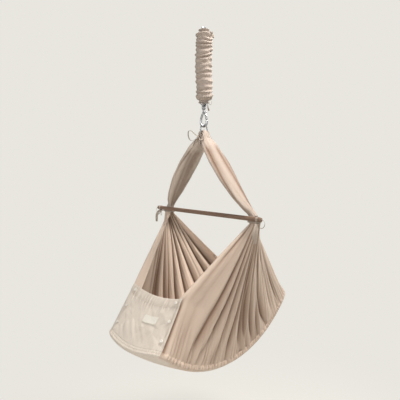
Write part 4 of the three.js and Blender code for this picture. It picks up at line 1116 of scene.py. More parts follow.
    def seam(self, cloth, depth, distance, side, seed):
        """Adds the puckered edge, drawn over the base's boxing and sewn under it."""
        share = (distance - distance[0]) / (distance[-1] - distance[0])
        clear = smooth((distance - CORNER_PLACE - 6 * MM) / (20 * MM))
        pucker = self.puckers(share, seed) * clear * (0.15 + 0.85 * smooth((0.98 - share) / 0.08))
        rows, deeps = [], []
        offset = cloth[-1] - rim_point(distance, CLOTH / 2, RIM, side)
        for step in range(1, self.seam_rows + 1):
            down = step / self.seam_rows
            height = mix(RIM, 2.2 * MM, down)
            inset = mix(CLOTH / 2, -0.6 * MM, smooth(down * 2.5)) + 3.2 * MM * smooth((down - 0.72) / 0.28)
            bulge = pucker * 4.8 * MM * max(0.0, math.sin(math.pi * min(1, 0.22 + 0.78 * down))) ** 0.6
            place = rim_point(distance, inset - bulge, height, side)
            rows.append(place + offset * (1 - smooth(down * 1.6)))
            deeps.append(depth[-1] * (1 - down) + bulge * 1.5)
        return np.concatenate([cloth, np.array(rows)]), np.concatenate([depth, np.array(deeps)])

    def neck(self, cloth, depth, distance, first, last, side):
        """Adds the gathered cloth that runs up beside the bar."""
        share = (distance - first) / (last - first)
        heart = point(NECK_X, side * NECK_REACH, 0)
        rings = []
        for level in np.linspace(BAR_Z - 0.3 * MM, NECK_Z, self.neck_rows + 1)[:-1]:
            ring = neck_point(share, level, side)
            out = unit((ring - heart) * (1, 1, 0))
            rings.append(ring + out * (depth[0] * 0.9)[:, None])
        depth = np.concatenate([np.repeat(depth[:1], self.neck_rows, axis=0), depth])
        return np.concatenate([np.array(rings), cloth]), depth


class CRADLE_OT_base(CradleOperator):
    """Makes the sagging base with its puckered boxing and the seam that the panels join it by."""

    bl_idname = "cradle.base"
    bl_label = "Base"

    def make(self, chosen):
        half = np.linspace(0, OUTLINE_RUN, 321)
        distance = np.concatenate([half, -half[-2:0:-1]])
        rows = []
        profile = [(3.4 * MM, BOXING, 0), (3.2 * MM, BOXING * 0.6, 0), (3.4 * MM, BOXING * 0.25, 0)]
        profile += [(5 * MM, 1.6 * MM, 0), (8 * MM, 0.5 * MM, 0), (12 * MM, 0.4 * MM, 0)]
        profile = curve_through(profile, 14)[:, :2]
        for inset, height in profile:
            rows.append(rim_point(distance, inset, height, 1))
        along, across = outline(np.abs(distance), profile[-1][0])
        across = across * np.where(distance < 0, -1, 1)
        for share in np.linspace(1, 0.02, 26)[1:]:
            lump = 0.9 * MM * wander(along * share / 0.35 + across * share / 0.6, 23, 1.0) * (1 - share)
            rows.append(base_point(along * share, across * share, -lump * 0.5 + 0.5 * MM))
        cloth = np.array(rows)
        shell = Shell().grid(cloth, cloth_lengths(cloth), round_columns=True)
        last = shell.count - cloth.shape[1]
        shell.faces.append([last + i for i in range(cloth.shape[1])])
        made = shell.build("base_panel")
        thicken(made, chosen.cloth_thickness, 1.0)
        dress(made, finish_of("base_cloth"), "cradle", ["base_panel"])
        self.skirt(chosen)

    def skirt(self, chosen):
        """The strip of the flap's cloth that is sewn down over the base's edge at the foot."""
        distance, down = np.meshgrid(np.linspace(-CORNER_PLACE, CORNER_PLACE, 260), np.linspace(0, 1, 16))
        turns, strength = uneven((distance / CORNER_PLACE + 1) / 2, 34, 71, 0.8)
        ripple = 2.2 * MM * strength * pleat_wave(turns) * np.sin(np.pi * between(down))
        tucked = 3.4 * MM * smooth((down - 0.75) / 0.25)
        seam = 1.1 * MM * np.exp(-(((down - 0.45) / 0.07) ** 2))
        inset = -1.6 * MM + tucked - ripple + seam
        cloth = rim_point(distance, inset, mix(BOXING + 0.6 * MM, 2.4 * MM, down), 1)
        made = Shell().grid(cloth, cloth_lengths(cloth)).build("foot_edge")
        thicken(made, chosen.cloth_thickness)
        dress(made, finish_of("flap_cloth"), "cradle")
        area_of(cloth) / 0.022
        row = rim_point(distance[0], -2.0 * MM, mix(BOXING, 2.4 * MM, 0.45), 1)
        sew("foot_edge_stitches", row, "cradle", chosen.stitch_length)


class CRADLE_OT_head(CradleOperator):
    """Makes the cloth wall at the head end."""

    bl_idname = "cradle.head"
    bl_label = "Head panel"

    def make(self, chosen):
        q, up = np.meshgrid(np.linspace(-1, 1, 150), np.linspace(0.01, 1, 60))
        distance = OUTLINE_RUN - np.abs(q) * CORNER_PLACE
        rim = rim_point(distance, CLOTH / 2, RIM, np.where(q < 0, -1, 1))
        middle = mix(rim, head_top(q), up[..., None])
        normals = surface_normals(middle, point(np.ones_like(q), 0, 0))
        wave = 2.2 * MM * wander(q + 0.2 * up, 31, 1.2) * np.sin(np.pi * up) - 2.0 * MM * np.sin(np.pi * up)
        gathers = 1.2 * MM * np.sin(2 * np.pi * q * 12 + wander(q, 32, 1.0)) * smooth((up - 0.75) * 5)
        cloth = middle + normals * (-5.1 * MM + wave + gathers)[..., None]
        edge = []
        for down in np.linspace(1, 0, 9)[:-1]:
            ripple = 1.6 * MM * np.sin(2 * np.pi * q[0] * 15 + 2 * wander(q[0], 33, 1.0))
            inset = mix(0.6 * MM, 2.4 * MM, down) + ripple * math.sin(math.pi * down)
            edge.append(rim_point(distance[0], inset, mix(RIM, 2.4 * MM, down), np.where(q[0] < 0, -1, 1)))
        cloth = np.concatenate([np.array(edge), cloth])
        made = Shell().grid(cloth, cloth_lengths(cloth)).build("head_panel")
        thicken(made, chosen.cloth_thickness)
        dress(made, finish_of("cradle_cloth"), "cradle", ["head_panel"])
        area_of(cloth) / 0.17


class CRADLE_OT_flap(CradleOperator):
    """Makes the foot flap with its elastic casing, blank patch, elastic and stitches."""

    bl_idname = "cradle.flap"
    bl_label = "Foot flap"

    tall = 143.5 * MM
    casing_share = 26 * MM / tall
    label_q, label_up = -0.3, 0.53

    @staticmethod
    def pulled(q, up):
        """Where the cloth is across the flap. Its upper part is drawn over the far side."""
        return q - 0.05 * up * smooth((-q - 0.8) / 0.2)

    @classmethod
    def face(cls, q, up, lift=0.0):
        """The flap's cloth, outside the side panels, with its gathers and soft creases."""
        low = 1 - cls.casing_share
        sides = smooth((1 - np.abs(q)) * 12)
        q = cls.pulled(q, up)
        middle = foot_middle(q, np.maximum(up, 0.0))
        normals = surface_normals(middle, point(-np.ones_like(q), 0, 0))
        turns, strength = uneven((q + 1) / 2 + 0.02 * np.sin(6 * up), 15, 41, 0.85)
        strength = strength * between(0.75 + 0.6 * wander(1.3 * q, 46, 1.0))
        below = smooth((up - 0.60) / 0.24) * (1 - smooth((up - low) / 0.02))
        inside = smooth((up - low) / 0.03)
        gathers = 4.2 * MM * pleat_wave(turns, -1) * strength * (below**2 + inside * 0.7) * sides
        casing = 1.5 * MM * np.sin(np.pi * between((up - low) / (1 - low))) * inside
        slack = 3.2 * MM * wander(0.7 * q + 0.9 * up, 43, 0.8) * np.sin(np.pi * between(up / low)) * sides
        crease = 1.8 * MM * wander(1.1 * q - 1.4 * up, 44, 1.5) * np.sin(np.pi * between(up / low)) * sides
        edge = 3.5 * MM * smooth((-q - 0.93) / 0.07) * smooth((up - 0.05) * 8)
        under_label = 1 - 0.8 * np.exp(-(((q - cls.label_q) / 0.34) ** 4) - ((up - cls.label_up) / 0.14) ** 4)
        out = 3.9 * MM + (gathers + slack + crease) * under_label + casing + edge + lift
        return middle + normals * np.maximum(out, 2.6 * MM + lift)[..., None]

    def make(self, chosen):
        q, up = np.meshgrid(np.linspace(-1, 1, 330), np.linspace(0.004, 1, 110))
        cloth = self.face(q, up)
        made = Shell().grid(cloth, cloth_lengths(cloth)).build("foot_flap")
        rise = np.linalg.norm(cloth - foot_middle(q, up), axis=-1)
        # painted shade in the gathers' hollows and along the casing's seam
        casing_seam_shade = np.exp(-(((up - 1 + self.casing_share) / 0.012) ** 2)) * 0.08
        shadow(made, between(0.32 * hollows(rise, 9, 1.1 * MM) + casing_seam_shade))
        thicken(made, chosen.cloth_thickness, 1.0)
        dress(made, finish_of("flap_cloth"), "flap", ["foot_flap"])
        area_of(cloth) / 0.16
        self.elastic()
        self.label(chosen.stitch_length)
        self.hem(chosen.stitch_length)

    def elastic(self):
        """The elastic's ends, which show at the casing's mouths."""
        q, up = np.meshgrid(np.linspace(-0.998, 0.998, 200), np.linspace(0.865, 0.95, 8))
        web = self.face(q, up, -0.9 * MM)
        made = thicken(Shell().grid(web, cloth_lengths(web)).build("flap_elastic"), 0.8 * MM)
        dress(made, finish_of("elastic_web"), "flap", ["flap_elastic"])

    def label(self, stitch_length):
        half_q = 28 * MM / FLAP_TOP_HALF
        half_up = 10.5 * MM / self.tall
        q, up = np.meshgrid(
            np.linspace(self.label_q - half_q, self.label_q + half_q, 60),
            np.linspace(self.label_up - half_up, self.label_up + half_up, 40),
        )
        patch = self.face(q, up, 1.9 * MM)
        made = Shell().grid(patch, cloth_lengths(patch)).build("label_patch")
        thicken(made, 0.7 * MM, 1.0)
        dress(made, finish_of("woven_label"), "flap", ["label_patch"])
        edge = np.concatenate([patch[2, 2:-2], patch[2:-2, -3], patch[-3, 2:-2][::-1], patch[2:-2, 2][::-1]])
        sew("label_stitches", edge, "flap", stitch_length)

    def hem(self, stitch_length):
        low = 1 - self.casing_share
        for name, level in (("casing_stitches_low", low + 0.012), ("casing_stitches_high", 0.965)):
            q = np.linspace(-0.99, 0.99, 200)
            rows = np.array([[level - 0.01], [level], [level + 0.01]])
            row = self.face(*np.broadcast_arrays(q, rows), 1.4 * MM)[1]
            sew(name, row, "flap", stitch_length)


def scatter_tree(name, sockets, finish, parts):
    """The node tree that sets a shape on points, its Z turned their way. It is made once."""
    tree = bpy.data.node_groups.get(name)
    if tree is None:
        tree = bpy.data.node_groups.new(name, "GeometryNodeTree")
        nodes = Nodes(tree)
        tree.interface.new_socket("Geometry", in_out="INPUT", socket_type="NodeSocketGeometry")
        for label, kind in sockets.items():
            tree.interface.new_socket(label, in_out="INPUT", socket_type=kind)
        tree.interface.new_socket("Geometry", in_out="OUTPUT", socket_type="NodeSocketGeometry")
        source = tree.nodes.new("NodeGroupInput")
        given = {socket.name: Value(nodes, socket) for socket in source.outputs if socket.name}
        points, shape, facing = parts(nodes, given)
        turned = nodes.node("FunctionNodeAlignRotationToVector", {"axis": "Z"}, {"Vector": facing})
        inputs = {"Points": points, "Instance": shape, "Rotation": turned}
        placed = nodes.node("GeometryNodeInstanceOnPoints", None, inputs)
        real = nodes.node("GeometryNodeRealizeInstances", None, {"Geometry": placed})
        inputs = {"Geometry": real, "Material": finish_of(finish)}
        nodes.node("NodeGroupOutput", None, {"Geometry": nodes.node("GeometryNodeSetMaterial", None, inputs)})
    return tree


def scatter_on(made, tree, inputs):
    """Runs a scatter tree on a mesh's points and keeps what it makes as the mesh."""
    modifier = made.modifiers.new("Scatter", "NODES")
    modifier.node_group = tree
    for item in tree.interface.items_tree:
        if item.in_out == "INPUT" and item.name in inputs:
            modifier[item.identifier] = inputs[item.name]
    settle(made)


def stitch_parts(nodes, given):
    curve = nodes.node("GeometryNodeMeshToCurve", None, {"Mesh": given["Geometry"]})
    inputs = {"Curve": curve, "Length": given["Spacing"]}
    points = nodes.node("GeometryNodeResampleCurve", {"mode": "LENGTH"}, inputs)
    inputs = {"Vertices": 6, "Radius": given["Thickness"], "Depth": given["Length"]}
    shape = nodes.node("GeometryNodeMeshCylinder", None, inputs)
    return points, shape, nodes.node("GeometryNodeInputTangent")


def snap_parts(nodes, given):
    shape = nodes.node("GeometryNodeObjectInfo", None, {"Object": given["Shape"]}, "Geometry")
    kind = {"data_type": "FLOAT_VECTOR"}
    facing = nodes.node("GeometryNodeInputNamedAttribute", kind, {"Name": "facing"}, "Attribute")
    return given["Geometry"], shape, facing


def sew(name, path, body, spacing):
    """A row of stitches along a path, set out by geometry nodes."""
    line = bpy.data.meshes.new(name + "_line")
    line.from_pydata(path.tolist(), [(i, i + 1) for i in range(len(path) - 1)], [])
    made = linked(name, line)
    sockets = dict.fromkeys(("Spacing", "Length", "Thickness"), "NodeSocketFloat")
    tree = scatter_tree("Stitch row", sockets, "thread", stitch_parts)
    scatter_on(made, tree, {"Spacing": spacing, "Length": spacing * 0.62, "Thickness": 0.45 * MM})
    mend_normals(made)
    dress(made, finish_of("thread"), body)


class CRADLE_OT_cover(CradleOperator):
    """Makes the scrunched cloth cover of the spring."""

    bl_idname = "cradle.cover"
    bl_label = "Spring cover"

    def make(self, chosen):
        share, turn = np.meshgrid(np.linspace(0, 1, 330), 2 * np.pi * np.arange(150) / 150, indexing="ij")
        length = COVER_TOP - COVER_BOTTOM
        from_end = np.minimum(share, 1 - share) * length
        mouth, full = 14.4 * MM, 27.0 * MM
        radius = mix(mouth, full, smooth((from_end - 8 * MM) / (9 * MM)) ** 0.7)
        radius = radius + 3.5 * MM * between(1 - from_end / (6 * MM))
        swing = 0.30 * np.sin(turn + 1.1) + 0.16 * np.sin(2 * turn + 9 * share)
        swing = swing + 0.06 * np.sin(3 * turn - 23 * share)
        ridge_turns, ridge_strength = uneven(share + swing / 17, 15, 51, 0.5)
        other_turns, other_strength = uneven(share - swing / 13 + 0.02 * np.sin(turn - 1), 8, 52, 0.6)
        strength = 0.85 + 0.25 * np.sin(2 * turn + 31 * share)
        body = smooth((from_end - 11 * MM) / (6 * MM))
        rounded = 0.75 - np.abs(np.cos(np.pi * ridge_turns)) ** 1.6 * 1.3
        overlay = 0.5 - np.abs(np.cos(np.pi * other_turns)) ** 2.5
        folds = chosen.cover_fold * body * (
            0.8 * rounded * strength * ridge_strength + 0.4 * overlay * other_strength
        )
        near_mouth = 1 - smooth((from_end - 10 * MM) / (20 * MM))
        crimp = 1.1 * MM * np.sin(24 * turn + 6 * np.sin(5 * share)) * near_mouth
        crimp = crimp + 0.3 * MM * np.sin(7 * turn + 30 * share) * body
        sway = 1.6 * MM * np.sin(2 * np.pi * share * 1.4 + 0.5) * body
        total = np.minimum(radius + folds + crimp, 31.5 * MM)
        level = mix(COVER_TOP, COVER_BOTTOM, share) + 1.6 * MM * np.sin(turn * 2 + 12 * share) * body
        cloth = point(total * np.cos(turn) + sway, total * np.sin(turn) - sway * 0.5, level)
        made = Shell().grid(cloth, cloth_lengths(cloth), round_columns=True).build("spring_cover")
        thicken(made, chosen.cloth_thickness)
        settle(made)
        # painted shade in the hollows of the cover's folds
        shadow(made, 0.85 * hollows(folds.T, 9, 2.4 * MM).T)
        dress(made, finish_of("cover_cloth"), None, ["spring_cover"])
        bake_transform(made)
        closed = np.concatenate([cloth, cloth[:, :1]], axis=1)
        area_of(closed) / 0.21


class CRADLE_OT_spring(CradleOperator):
    """Makes the extension spring inside the cover."""

    bl_idname = "cradle.spring"
    bl_label = "Extension spring"

    def make(self, chosen):
        curls = 27
        wire = 2 * MM
        share = np.linspace(0, 1, curls * 36)
        depth = share * (SPRING_TOP - SPRING_BOTTOM - 2 * wire) + wire
        from_end = np.minimum(depth, SPRING_TOP - SPRING_BOTTOM - depth)
        radius = mix(9.5 * MM, 20 * MM, smooth(from_end / (34 * MM))) - wire
        angle = 2 * np.pi * curls * share
        path = point(radius * np.cos(angle), radius * np.sin(angle), SPRING_TOP - depth)
        made = Shell().tube(path, wire, 10).build("extension_spring")
        dress(made, finish_of("plated"), None, ["extension_spring"])
        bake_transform(made)


class CRADLE_OT_straps(CradleOperator):
    """Makes the gathered cloth that runs through the ring and down to both ends of the bar."""

    bl_idname = "cradle.straps"
    bl_label = "Straps"

    reaches = (0, 5.2, 8.6, 10.8, 12.5, 22, 37, 72, 114, 155, 182, 196, 206)
    levels = (-352.1, -354.2, -360.6, -370, -378.4, -393.5, -412, -456, -513, -570.5, -606, -624, -640.3)
    halves = (12.9, 12.9, 15, 20, 24, 33, 41, 50, 48, 37, 24, 14.5, 11)
    thicks = (5.5, 5.5, 7, 10, 12, 15, 17, 15.5, 15, 13, 12, 12.5, 15)
    # places round the strap and depths of the creases, on the near and the far side
    creases = {
        -1: (
            (0.0, 1.0), (0.34, 0.8), (0.72, 1.0), (1.15, 0.55), (2.1, 0.3), (2.9, 0.7), (3.7, 0.8),
            (4.5, 0.9), (5.3, 0.8),
        ),
        1: (
            (0.3, 0.8), (1.2, 0.7), (2.2, 0.6), (3.0, 0.45), (3.5, 1.0), (4.1, 1.0), (4.55, 0.9),
            (5.0, 1.0), (5.6, 0.7),
        ),
    }
    asides = (0, 0, 0, 0, 0, 0, 0, 0.4, 2.5, 6.8, 13.1, 20.4, 21.1)

    def make(self, chosen):
        for side, name, seed in ((-1, "strap_near", 61), (1, "strap_far", 67)):
            self.strap(chosen, side, name, seed)

    def strap(self, chosen, side, name, seed):
        count = 110
        places = np.array([self.reaches, self.levels, self.asides]).T
        line = curve_through(places, count) * MM
        knots = run_of(places[:, :2])
        where = np.linspace(0, 1, count) * knots[-1]
        half = np.interp(where, knots, self.halves) * MM
        thick = np.interp(where, knots, self.thicks) * MM
        kernel = np.array([1, 2, 3, 2, 1]) / 9
        half = np.convolve(np.pad(half, 2, mode="edge"), kernel, mode="valid")
        thick = np.convolve(np.pad(thick, 2, mode="edge"), kernel, mode="valid")
        reach, level, aside = line.T
        lean = np.arctan2(-np.gradient(level), np.gradient(reach))
        lean[0] = 0
        turn = 2 * np.pi * np.arange(220) / 220
        share = np.linspace(0, 1, count)[:, None]
        random = np.random.default_rng(seed)
        depth = np.zeros((count, len(turn)))
        open_here = smooth((share - 0.16) / 0.1) * smooth((1.02 - share) / 0.12)
        for centre, deep in self.creases[side]:
            drift = 0.22 * np.sin(2 * np.pi * (share * random.uniform(0.3, 0.8) + random.uniform()))
            away = np.angle(np.exp(1j * (turn[None, :] - centre - drift)))
            width = random.uniform(0.22, 0.34)
            fade = 0.75 + 0.25 * np.sin(2 * np.pi * (share * random.uniform(0.5, 1.2) + random.uniform()))
            depth = depth - deep * fade * np.exp(-np.abs(away / width) ** 1.4)
        fine = 0.25 * fold_wave(9 * turn[None, :] / (2 * np.pi) + 0.6 * np.sin(5 * share))
        tight = 0.22 * fold_wave(13 * turn[None, :] / (2 * np.pi)) * (1 - open_here)
        size = np.sqrt(half * thick)[:, None]
        push = depth * 0.30 * size * (0.3 + 0.7 * open_here) + fine * 0.05 * size + tight * 1.5 * MM
        out_x = np.cos(turn)[None, :] * (half[:, None] + push)
        out_n = np.sin(turn)[None, :] * (thick[:, None] + push * 0.75)
        ring = self.round_ring(out_n, half, thick, turn, share)
        x = aside[:, None] + out_x
        y = side * (reach[:, None] + ring * np.sin(lean)[:, None])
        z = level[:, None] + ring * np.cos(lean)[:, None]
        cloth = np.stack([x, y, z], axis=-1)
        made = Shell().grid(cloth, cloth_lengths(cloth), round_columns=True).build(name)
        # painted shade in the creases and hollows; the far strap gets painted light and the near one a little
        # more painted shade
        dark = between(-1.3 * depth) * (0.35 + 0.65 * open_here)
        pale = -0.10 if side < 0 else 0.45
        shadow(made, between(1.1 * dark + 0.4 * hollows(push / size, 16, 0.16, True)) - pale)
        thicken(made, chosen.cloth_thickness)
        dress(made, finish_of("strap_cloth"), "cradle", [name])
        closed = np.concatenate([cloth, cloth[:, :1]], axis=1)
        area_of(closed) / 0.36

    def round_ring(self, out, half, thick, turn, share):
        """On the ring, the bunch's underside is as round as the ring's wire."""
        inside = 13.7 * MM
        reach = np.clip(np.cos(turn)[None, :] * half[:, None], -0.98 * inside, 0.98 * inside)
        rise = inside - np.sqrt(inside**2 - reach**2) - thick[:, None]
        on_ring = 1 - smooth((share - 0.02) / 0.06)
        return np.where(out < rise, mix(out, rise, on_ring), out)


X_TO = np.array([[0, 0, 1], [0, 1, 0], [-1, 0, 0]])  # turns a shape's Z to X
Y_TO = np.array([[1, 0, 0], [0, 0, 1], [0, -1, 0]])  # and to Y


class CRADLE_OT_metal(CradleOperator):
    """Makes the eyes, the snap hook with its gate, rivet and spring, and the hanging ring."""

    bl_idname = "cradle.metal"
    bl_label = "Eyes, snap hook and ring"

    def make(self, chosen):
        self.eye("upper_eye", "hanger", UPPER_EYE_Z, 1)
        self.eye("lower_eye", "spring_foot", LOWER_EYE_Z, -1)
        self.hook()
        self.gate()
        ring = Shell().torus((0, 0, RING_Z), 16.5 * MM, 2.5 * MM, Y_TO, 96, 24)
        dress(ring.build("hanging_ring"), finish_of("polished"), "ring", ["hanging_ring"])

    def eye(self, name, body, level, way):
        wire = EYE_WIRE / 2
        top = level - way * (EYE_RADIUS - wire / 2)
        low = level - way * 22.5 * MM
        shell = Shell().torus((0, 0, level), EYE_RADIUS, wire, Y_TO, 96, 24)
        shell.tube([(0, 0, top), (0, 0, mix(top, low, 0.5)), (0, 0, low)], wire, 24)
        head = [(0, 36.2), (11.4, 36.2), (10.6, 33.5), (6.3, 23.0), (5.2, 22.2), (0, 22.2)]
        shell.lathe([(radius * MM, level - way * depth * MM) for radius, depth in head], sides=40)
        dress(shell.build(name), finish_of("polished"), body, [name])

    def hook(self):
        """The body, bent from one wire: eye, neck, spine, bend and nose."""
        shell = Shell().torus((0, 0, HOOK_EYE_Z), 7.25 * MM, 2.75 * MM, X_TO, 72, 24)
        bend = math.pi * np.arange(25) / 24
        reach = 14 * MM
        path = [(0, 0, -275.6 * MM), (0, 3.9 * MM, -287 * MM), (0, 11.5 * MM, -303.2 * MM)]
        path += [(0, 13.7 * MM, -311.7 * MM)]
        path += [(0, reach * math.cos(a), HOOK_BEND_Z - reach * math.sin(a)) for a in bend]
        path += [(0, -reach, HOOK_BEND_Z + 3.5 * MM), (0, -reach, HOOK_BEND_Z + 7 * MM)]
        line = curve_through(path, 120)
        share = np.linspace(0, 1, len(line))
        radius = mix(2.9 * MM, 4 * MM, smooth(share * 4.5)) * np.sqrt(between((1.012 - share) / 0.03))
        shell.tube(line, radius, 24)
        shell.tube([(-2.2 * MM, *HINGE), (0, *HINGE), (2.2 * MM, *HINGE)], 3.4 * MM, 28)
        shell.tube([(0, 0, -276.8 * MM), (0, HINGE[0] / 2, -281.2 * MM), (0, *HINGE)], 2.2 * MM, 20)
        made = shell.build("snap_hook_body")
        dress(made, finish_of("polished"), "hook", ["snap_hook_body"])
        half = [(0, 5.3), (1.6, 5.3), (2.3, 4.7), (2.3, 4.35), (1.3, 4.3)]
        profile = [(radius * MM, -end * MM) for radius, end in half]
        profile += [(radius * MM, end * MM) for radius, end in reversed(half)]
        pin = Shell().lathe(profile, (0, *HINGE), X_TO, 28)
        dress(pin.build("gate_rivet"), finish_of("polished"), "hook", ["gate_rivet"])

    def gate(self):
        """The gate's rod with its two cheeks and the coil spring in its bore, leaned to the nose."""
        lean = math.atan2(8, 28)
        cos, sin = math.cos(lean), math.sin(lean)
        turn = np.array([[1, 0, 0], [0, cos, sin], [0, -sin, cos]])
        hinge = np.array([0, *HINGE])
        rod = [(0, -15.8), (2.2, -15.8), (2.2, -3.9), (3.3, -3.9), (3.7, -4.3)]
        rod += [(3.7, -26.6), (3.0, -27.7), (0, -27.9)]
        shell = Shell().lathe([(r * MM, z * MM) for r, z in rod], hinge, turn, 36)
        for side in (-1, 1):
            around = math.pi * np.arange(17) / 16
            edge = [(3.6 * math.cos(a), 3.6 * math.sin(a)) for a in around] + [(-2.6, -5.3), (2.6, -5.3)]
            faces = [
                [((side * x) * MM, y * MM, z * MM) for y, z in edge]
                for x in (2.6, 2.8, 3.9, 4.1)
            ]
            shell.loft(np.array(faces) @ turn.T + hinge)
        made = shell.build("snap_hook_gate")
        dress(made, finish_of("polished"), "gate", ["snap_hook_gate"])
        share = np.linspace(0, 1, 160)
        angle = 2 * np.pi * 5 * share
        coil = point(1.55 * MM * np.cos(angle), 1.55 * MM * np.sin(angle), -4.45 * MM - 10.6 * MM * share)
        spring = Shell().tube(coil @ turn.T + hinge, 0.35 * MM, 10).build("gate_spring")
        dress(spring, finish_of("plated"), "gate", ["gate_spring"])


class CRADLE_OT_ribbons(CradleOperator):
    """Makes the ribbons: both drawstrings of the cover, the tie below the ring and the bar's ties."""

    bl_idname = "cradle.ribbons"
    bl_label = "Ribbons and bows"

    loop_shares = (
        (0, 0, 0.1), (0.5, 0.8, 0.2), (1, 1, -0.35), (0.8, 1, -0.95), (0.3, 0.6, -0.4), (0, 0, -0.1)
    )
    tail_shares = ((0, 0, 0), (0.16, 1, -0.35), (0.2, 1.5, -0.72), (0.34, 1.3, -1))

    def make(self, chosen):
        self.cover_tie("cover_top_tie", "spring_head", COVER_TOP - 10 * MM, 0.7, (19, 15, 8, 9), 71)
        self.cover_tie("cover_bottom_tie", "spring_foot", COVER_BOTTOM + 10 * MM, 1.95, (19, 34, 14, 4), 72)
        self.apex_tie()
        for side, name in ((-1, "bar_tie_near"), (1, "bar_tie_far")):
            self.bar_tie(name, side)

    def bow(self, shell, place, turn, sizes, seed):
        """A bow's knot, loops and tails. It is spread along X and faces -Y, then turned about Z."""
        loop, tail, drop, off = [size * MM for size in sizes]
        random = np.random.default_rng(seed)
        cos, sin = math.cos(turn), math.sin(turn)
        spin = np.array([[cos, -sin, 0], [sin, cos, 0], [0, 0, 1]])
        for side in (-1, 1):
            size = random.uniform(0.85, 1.12)
            ring = [
                (side * loop * size * x, -off * y, drop * z * random.uniform(0.9, 1.1))
                for x, y, z in self.loop_shares
            ]
            lean = np.array((0.25 * side, 1, random.uniform(-0.3, 0.3)))
            shell.strip(curve_through(ring, 44) @ spin.T + place, spin @ lean, 6 * MM, 0.8 * MM)
            bend = random.uniform(0.7, 1.3)
            hang = [(side * tail * x * bend, -off * y, tail * z) for x, y, z in self.tail_shares]
            path = curve_through(hang, 30)
            twist = np.linspace(0, side * random.uniform(0.6, 1.5), len(path))
            across = point(np.sin(twist), np.cos(twist), 0) @ spin.T
            shell.strip(path @ spin.T + place, across, 6 * MM, 0.8 * MM)
        self.knot(shell, place, 4.1 * MM, 4.4 * MM)

    def knot(self, shell, place, wide, high):
        turn = np.linspace(-math.pi / 2, math.pi / 2, 11)
        side = [(wide * math.cos(a), high * math.sin(a)) for a in turn]
        shell.lathe([(0, side[0][1]), *side[1:-1], (0, side[-1][1])], place, sides=20)

    def cover_tie(self, name, body, level, turn, sizes, seed):
        reach = 16.2 * MM
        shell = Shell()
        for lift in (-1.2 * MM, 1.0 * MM):
            shell.band((0, 0, level + lift), reach, reach, 2.6 * MM, 1.3 * MM)
        place = np.array((math.sin(turn) * (reach + 3 * MM), -math.cos(turn) * (reach + 3 * MM), level))
        self.bow(shell, place, turn, sizes, seed)
        dress(shell.build(name), finish_of("tape"), body, [name])

    def apex_tie(self):
        shell = Shell()
        reach_x, reach_y = 20.2 * MM, 22.5 * MM
        for lift in (-2.4 * MM, 2.0 * MM):
            shell.band((0, 0, TIE_Z + lift), reach_x, reach_y, 4.6 * MM, 1.4 * MM)
        place = np.array((-reach_x - 3 * MM, 0, TIE_Z))
        large = [(0, 0, 0), (-4, 16, 12), (-8, 34, 26), (-10, 44, 22)]
        large += [(-10, 43, 4), (-7, 34, -8), (-3, 14, -5), (0, 0, 0)]
        small = [(0, 0, 0), (-8, -10, 8), (-12, -24, 16), (-12, -32, 8)]
        small += [(-9, -28, -8), (-4, -12, -6), (0, 0, 0)]
        for points, width in (
            (large, 6.5),
            (small, 6.5),
            ([(0, 0, 0), (-7, 8, -6), (-9, 15, -16), (-8, 20, -27)], 6),
            ([(0, 0, 0), (-7, -8, -7), (-9, -13, -18), (-9, -20, -26)], 6),
        ):
            path = curve_through(points, 60) * MM + place
            shell.strip(path, (1, 0.25, 0.15), width * MM, 0.8 * MM)
        self.knot(shell, place, 4.4 * MM, 4.8 * MM)
        dress(shell.build("apex_tie"), finish_of("tape"), "cradle", ["apex_tie"])

    def bar_tie(self, name, side):
        """The ribbon round the neck of the cloth and round the bar, with a bow under the bar's end."""
        out = 235.4 * MM
        shell = Shell()
        for lift in (-1.8 * MM, 1.6 * MM):
            middle = (NECK_X, side * NECK_REACH, BAR_Z - 11.6 * MM + lift)
            shell.band(middle, 14.6 * MM, 24.8 * MM, 3.6 * MM, 1.3 * MM)
        turn = 2 * np.pi * np.arange(72) / 72
        for shift in (-2.4 * MM, 1.6 * MM):
            ring = point(8.4 * MM * np.cos(turn), side * (out + shift), BAR_Z + 8.4 * MM * np.sin(turn))
            shell.strip(ring, (0, 1, 0), 4.2 * MM, 1.2 * MM, closed=True)
        link = [(11.6 * MM, side * 225 * MM, BAR_Z - 12 * MM), (5 * MM, side * 232 * MM, BAR_Z - 11.5 * MM)]
        link += [(0, side * out, BAR_Z - 9.2 * MM)]
        shell.strip(curve_through(link, 20), (0.4, 0.6 * side, 0.3), 5.5 * MM, 1 * MM)
        place = np.array((-6 * MM, side * (out - 3 * MM), BAR_Z - 11.5 * MM))
        loop = [(0, 0, 0), (3, 10, 14), (5, 21, 14), (6, 30, 2)]
        loop += [(4, 27, -11), (2, 15, -15), (0, 4, -9), (0, 0, 0)]
        other = [(0, 0, 0), (6, 3, -1), (11, 5, -7), (11, 6, -16), (7, 4, -18), (3, 2, -9), (0, 0, 0)]
        tails = [[(0, 0, 0), (-7, 8, -5), (-14, 14, -20), (-18, 15, -40), (-20, 13, -62)]]
        tails += [[(0, 0, 0), (-10, 7, -4), (-19, 9, -16), (-25, 10, -32), (-27, 9, -48)]]
        if side > 0:
            tails = [[(0.4 * x, y, 0.7 * z) for x, y, z in tail] for tail in tails]
        strips = [(loop, 4.6, (0.2, 1.4)), (other, 4.6, (0.2, 1.4))]
        strips += [(tails[0], 8.5, (-0.4, -1.1)), (tails[1], 8, (-1.2, -0.5))]
        for points, width, turns in strips:
            path = curve_through([(x, side * y, z) for x, y, z in points], 60) * MM + place
            twist = np.linspace(*turns, len(path))
            shell.strip(path, point(np.cos(twist), np.sin(twist), 0.1), width * MM, 0.8 * MM)
        knot = [(0, -4.6), (2.6, -3.8), (4.4, -1), (4.2, 1.6), (2.2, 3.9), (0, 4.4)]
        shell.lathe([(radius * MM, height * MM) for radius, height in knot], place, sides=20)
        dress(shell.build(name), finish_of("tape"), "cradle", [name])


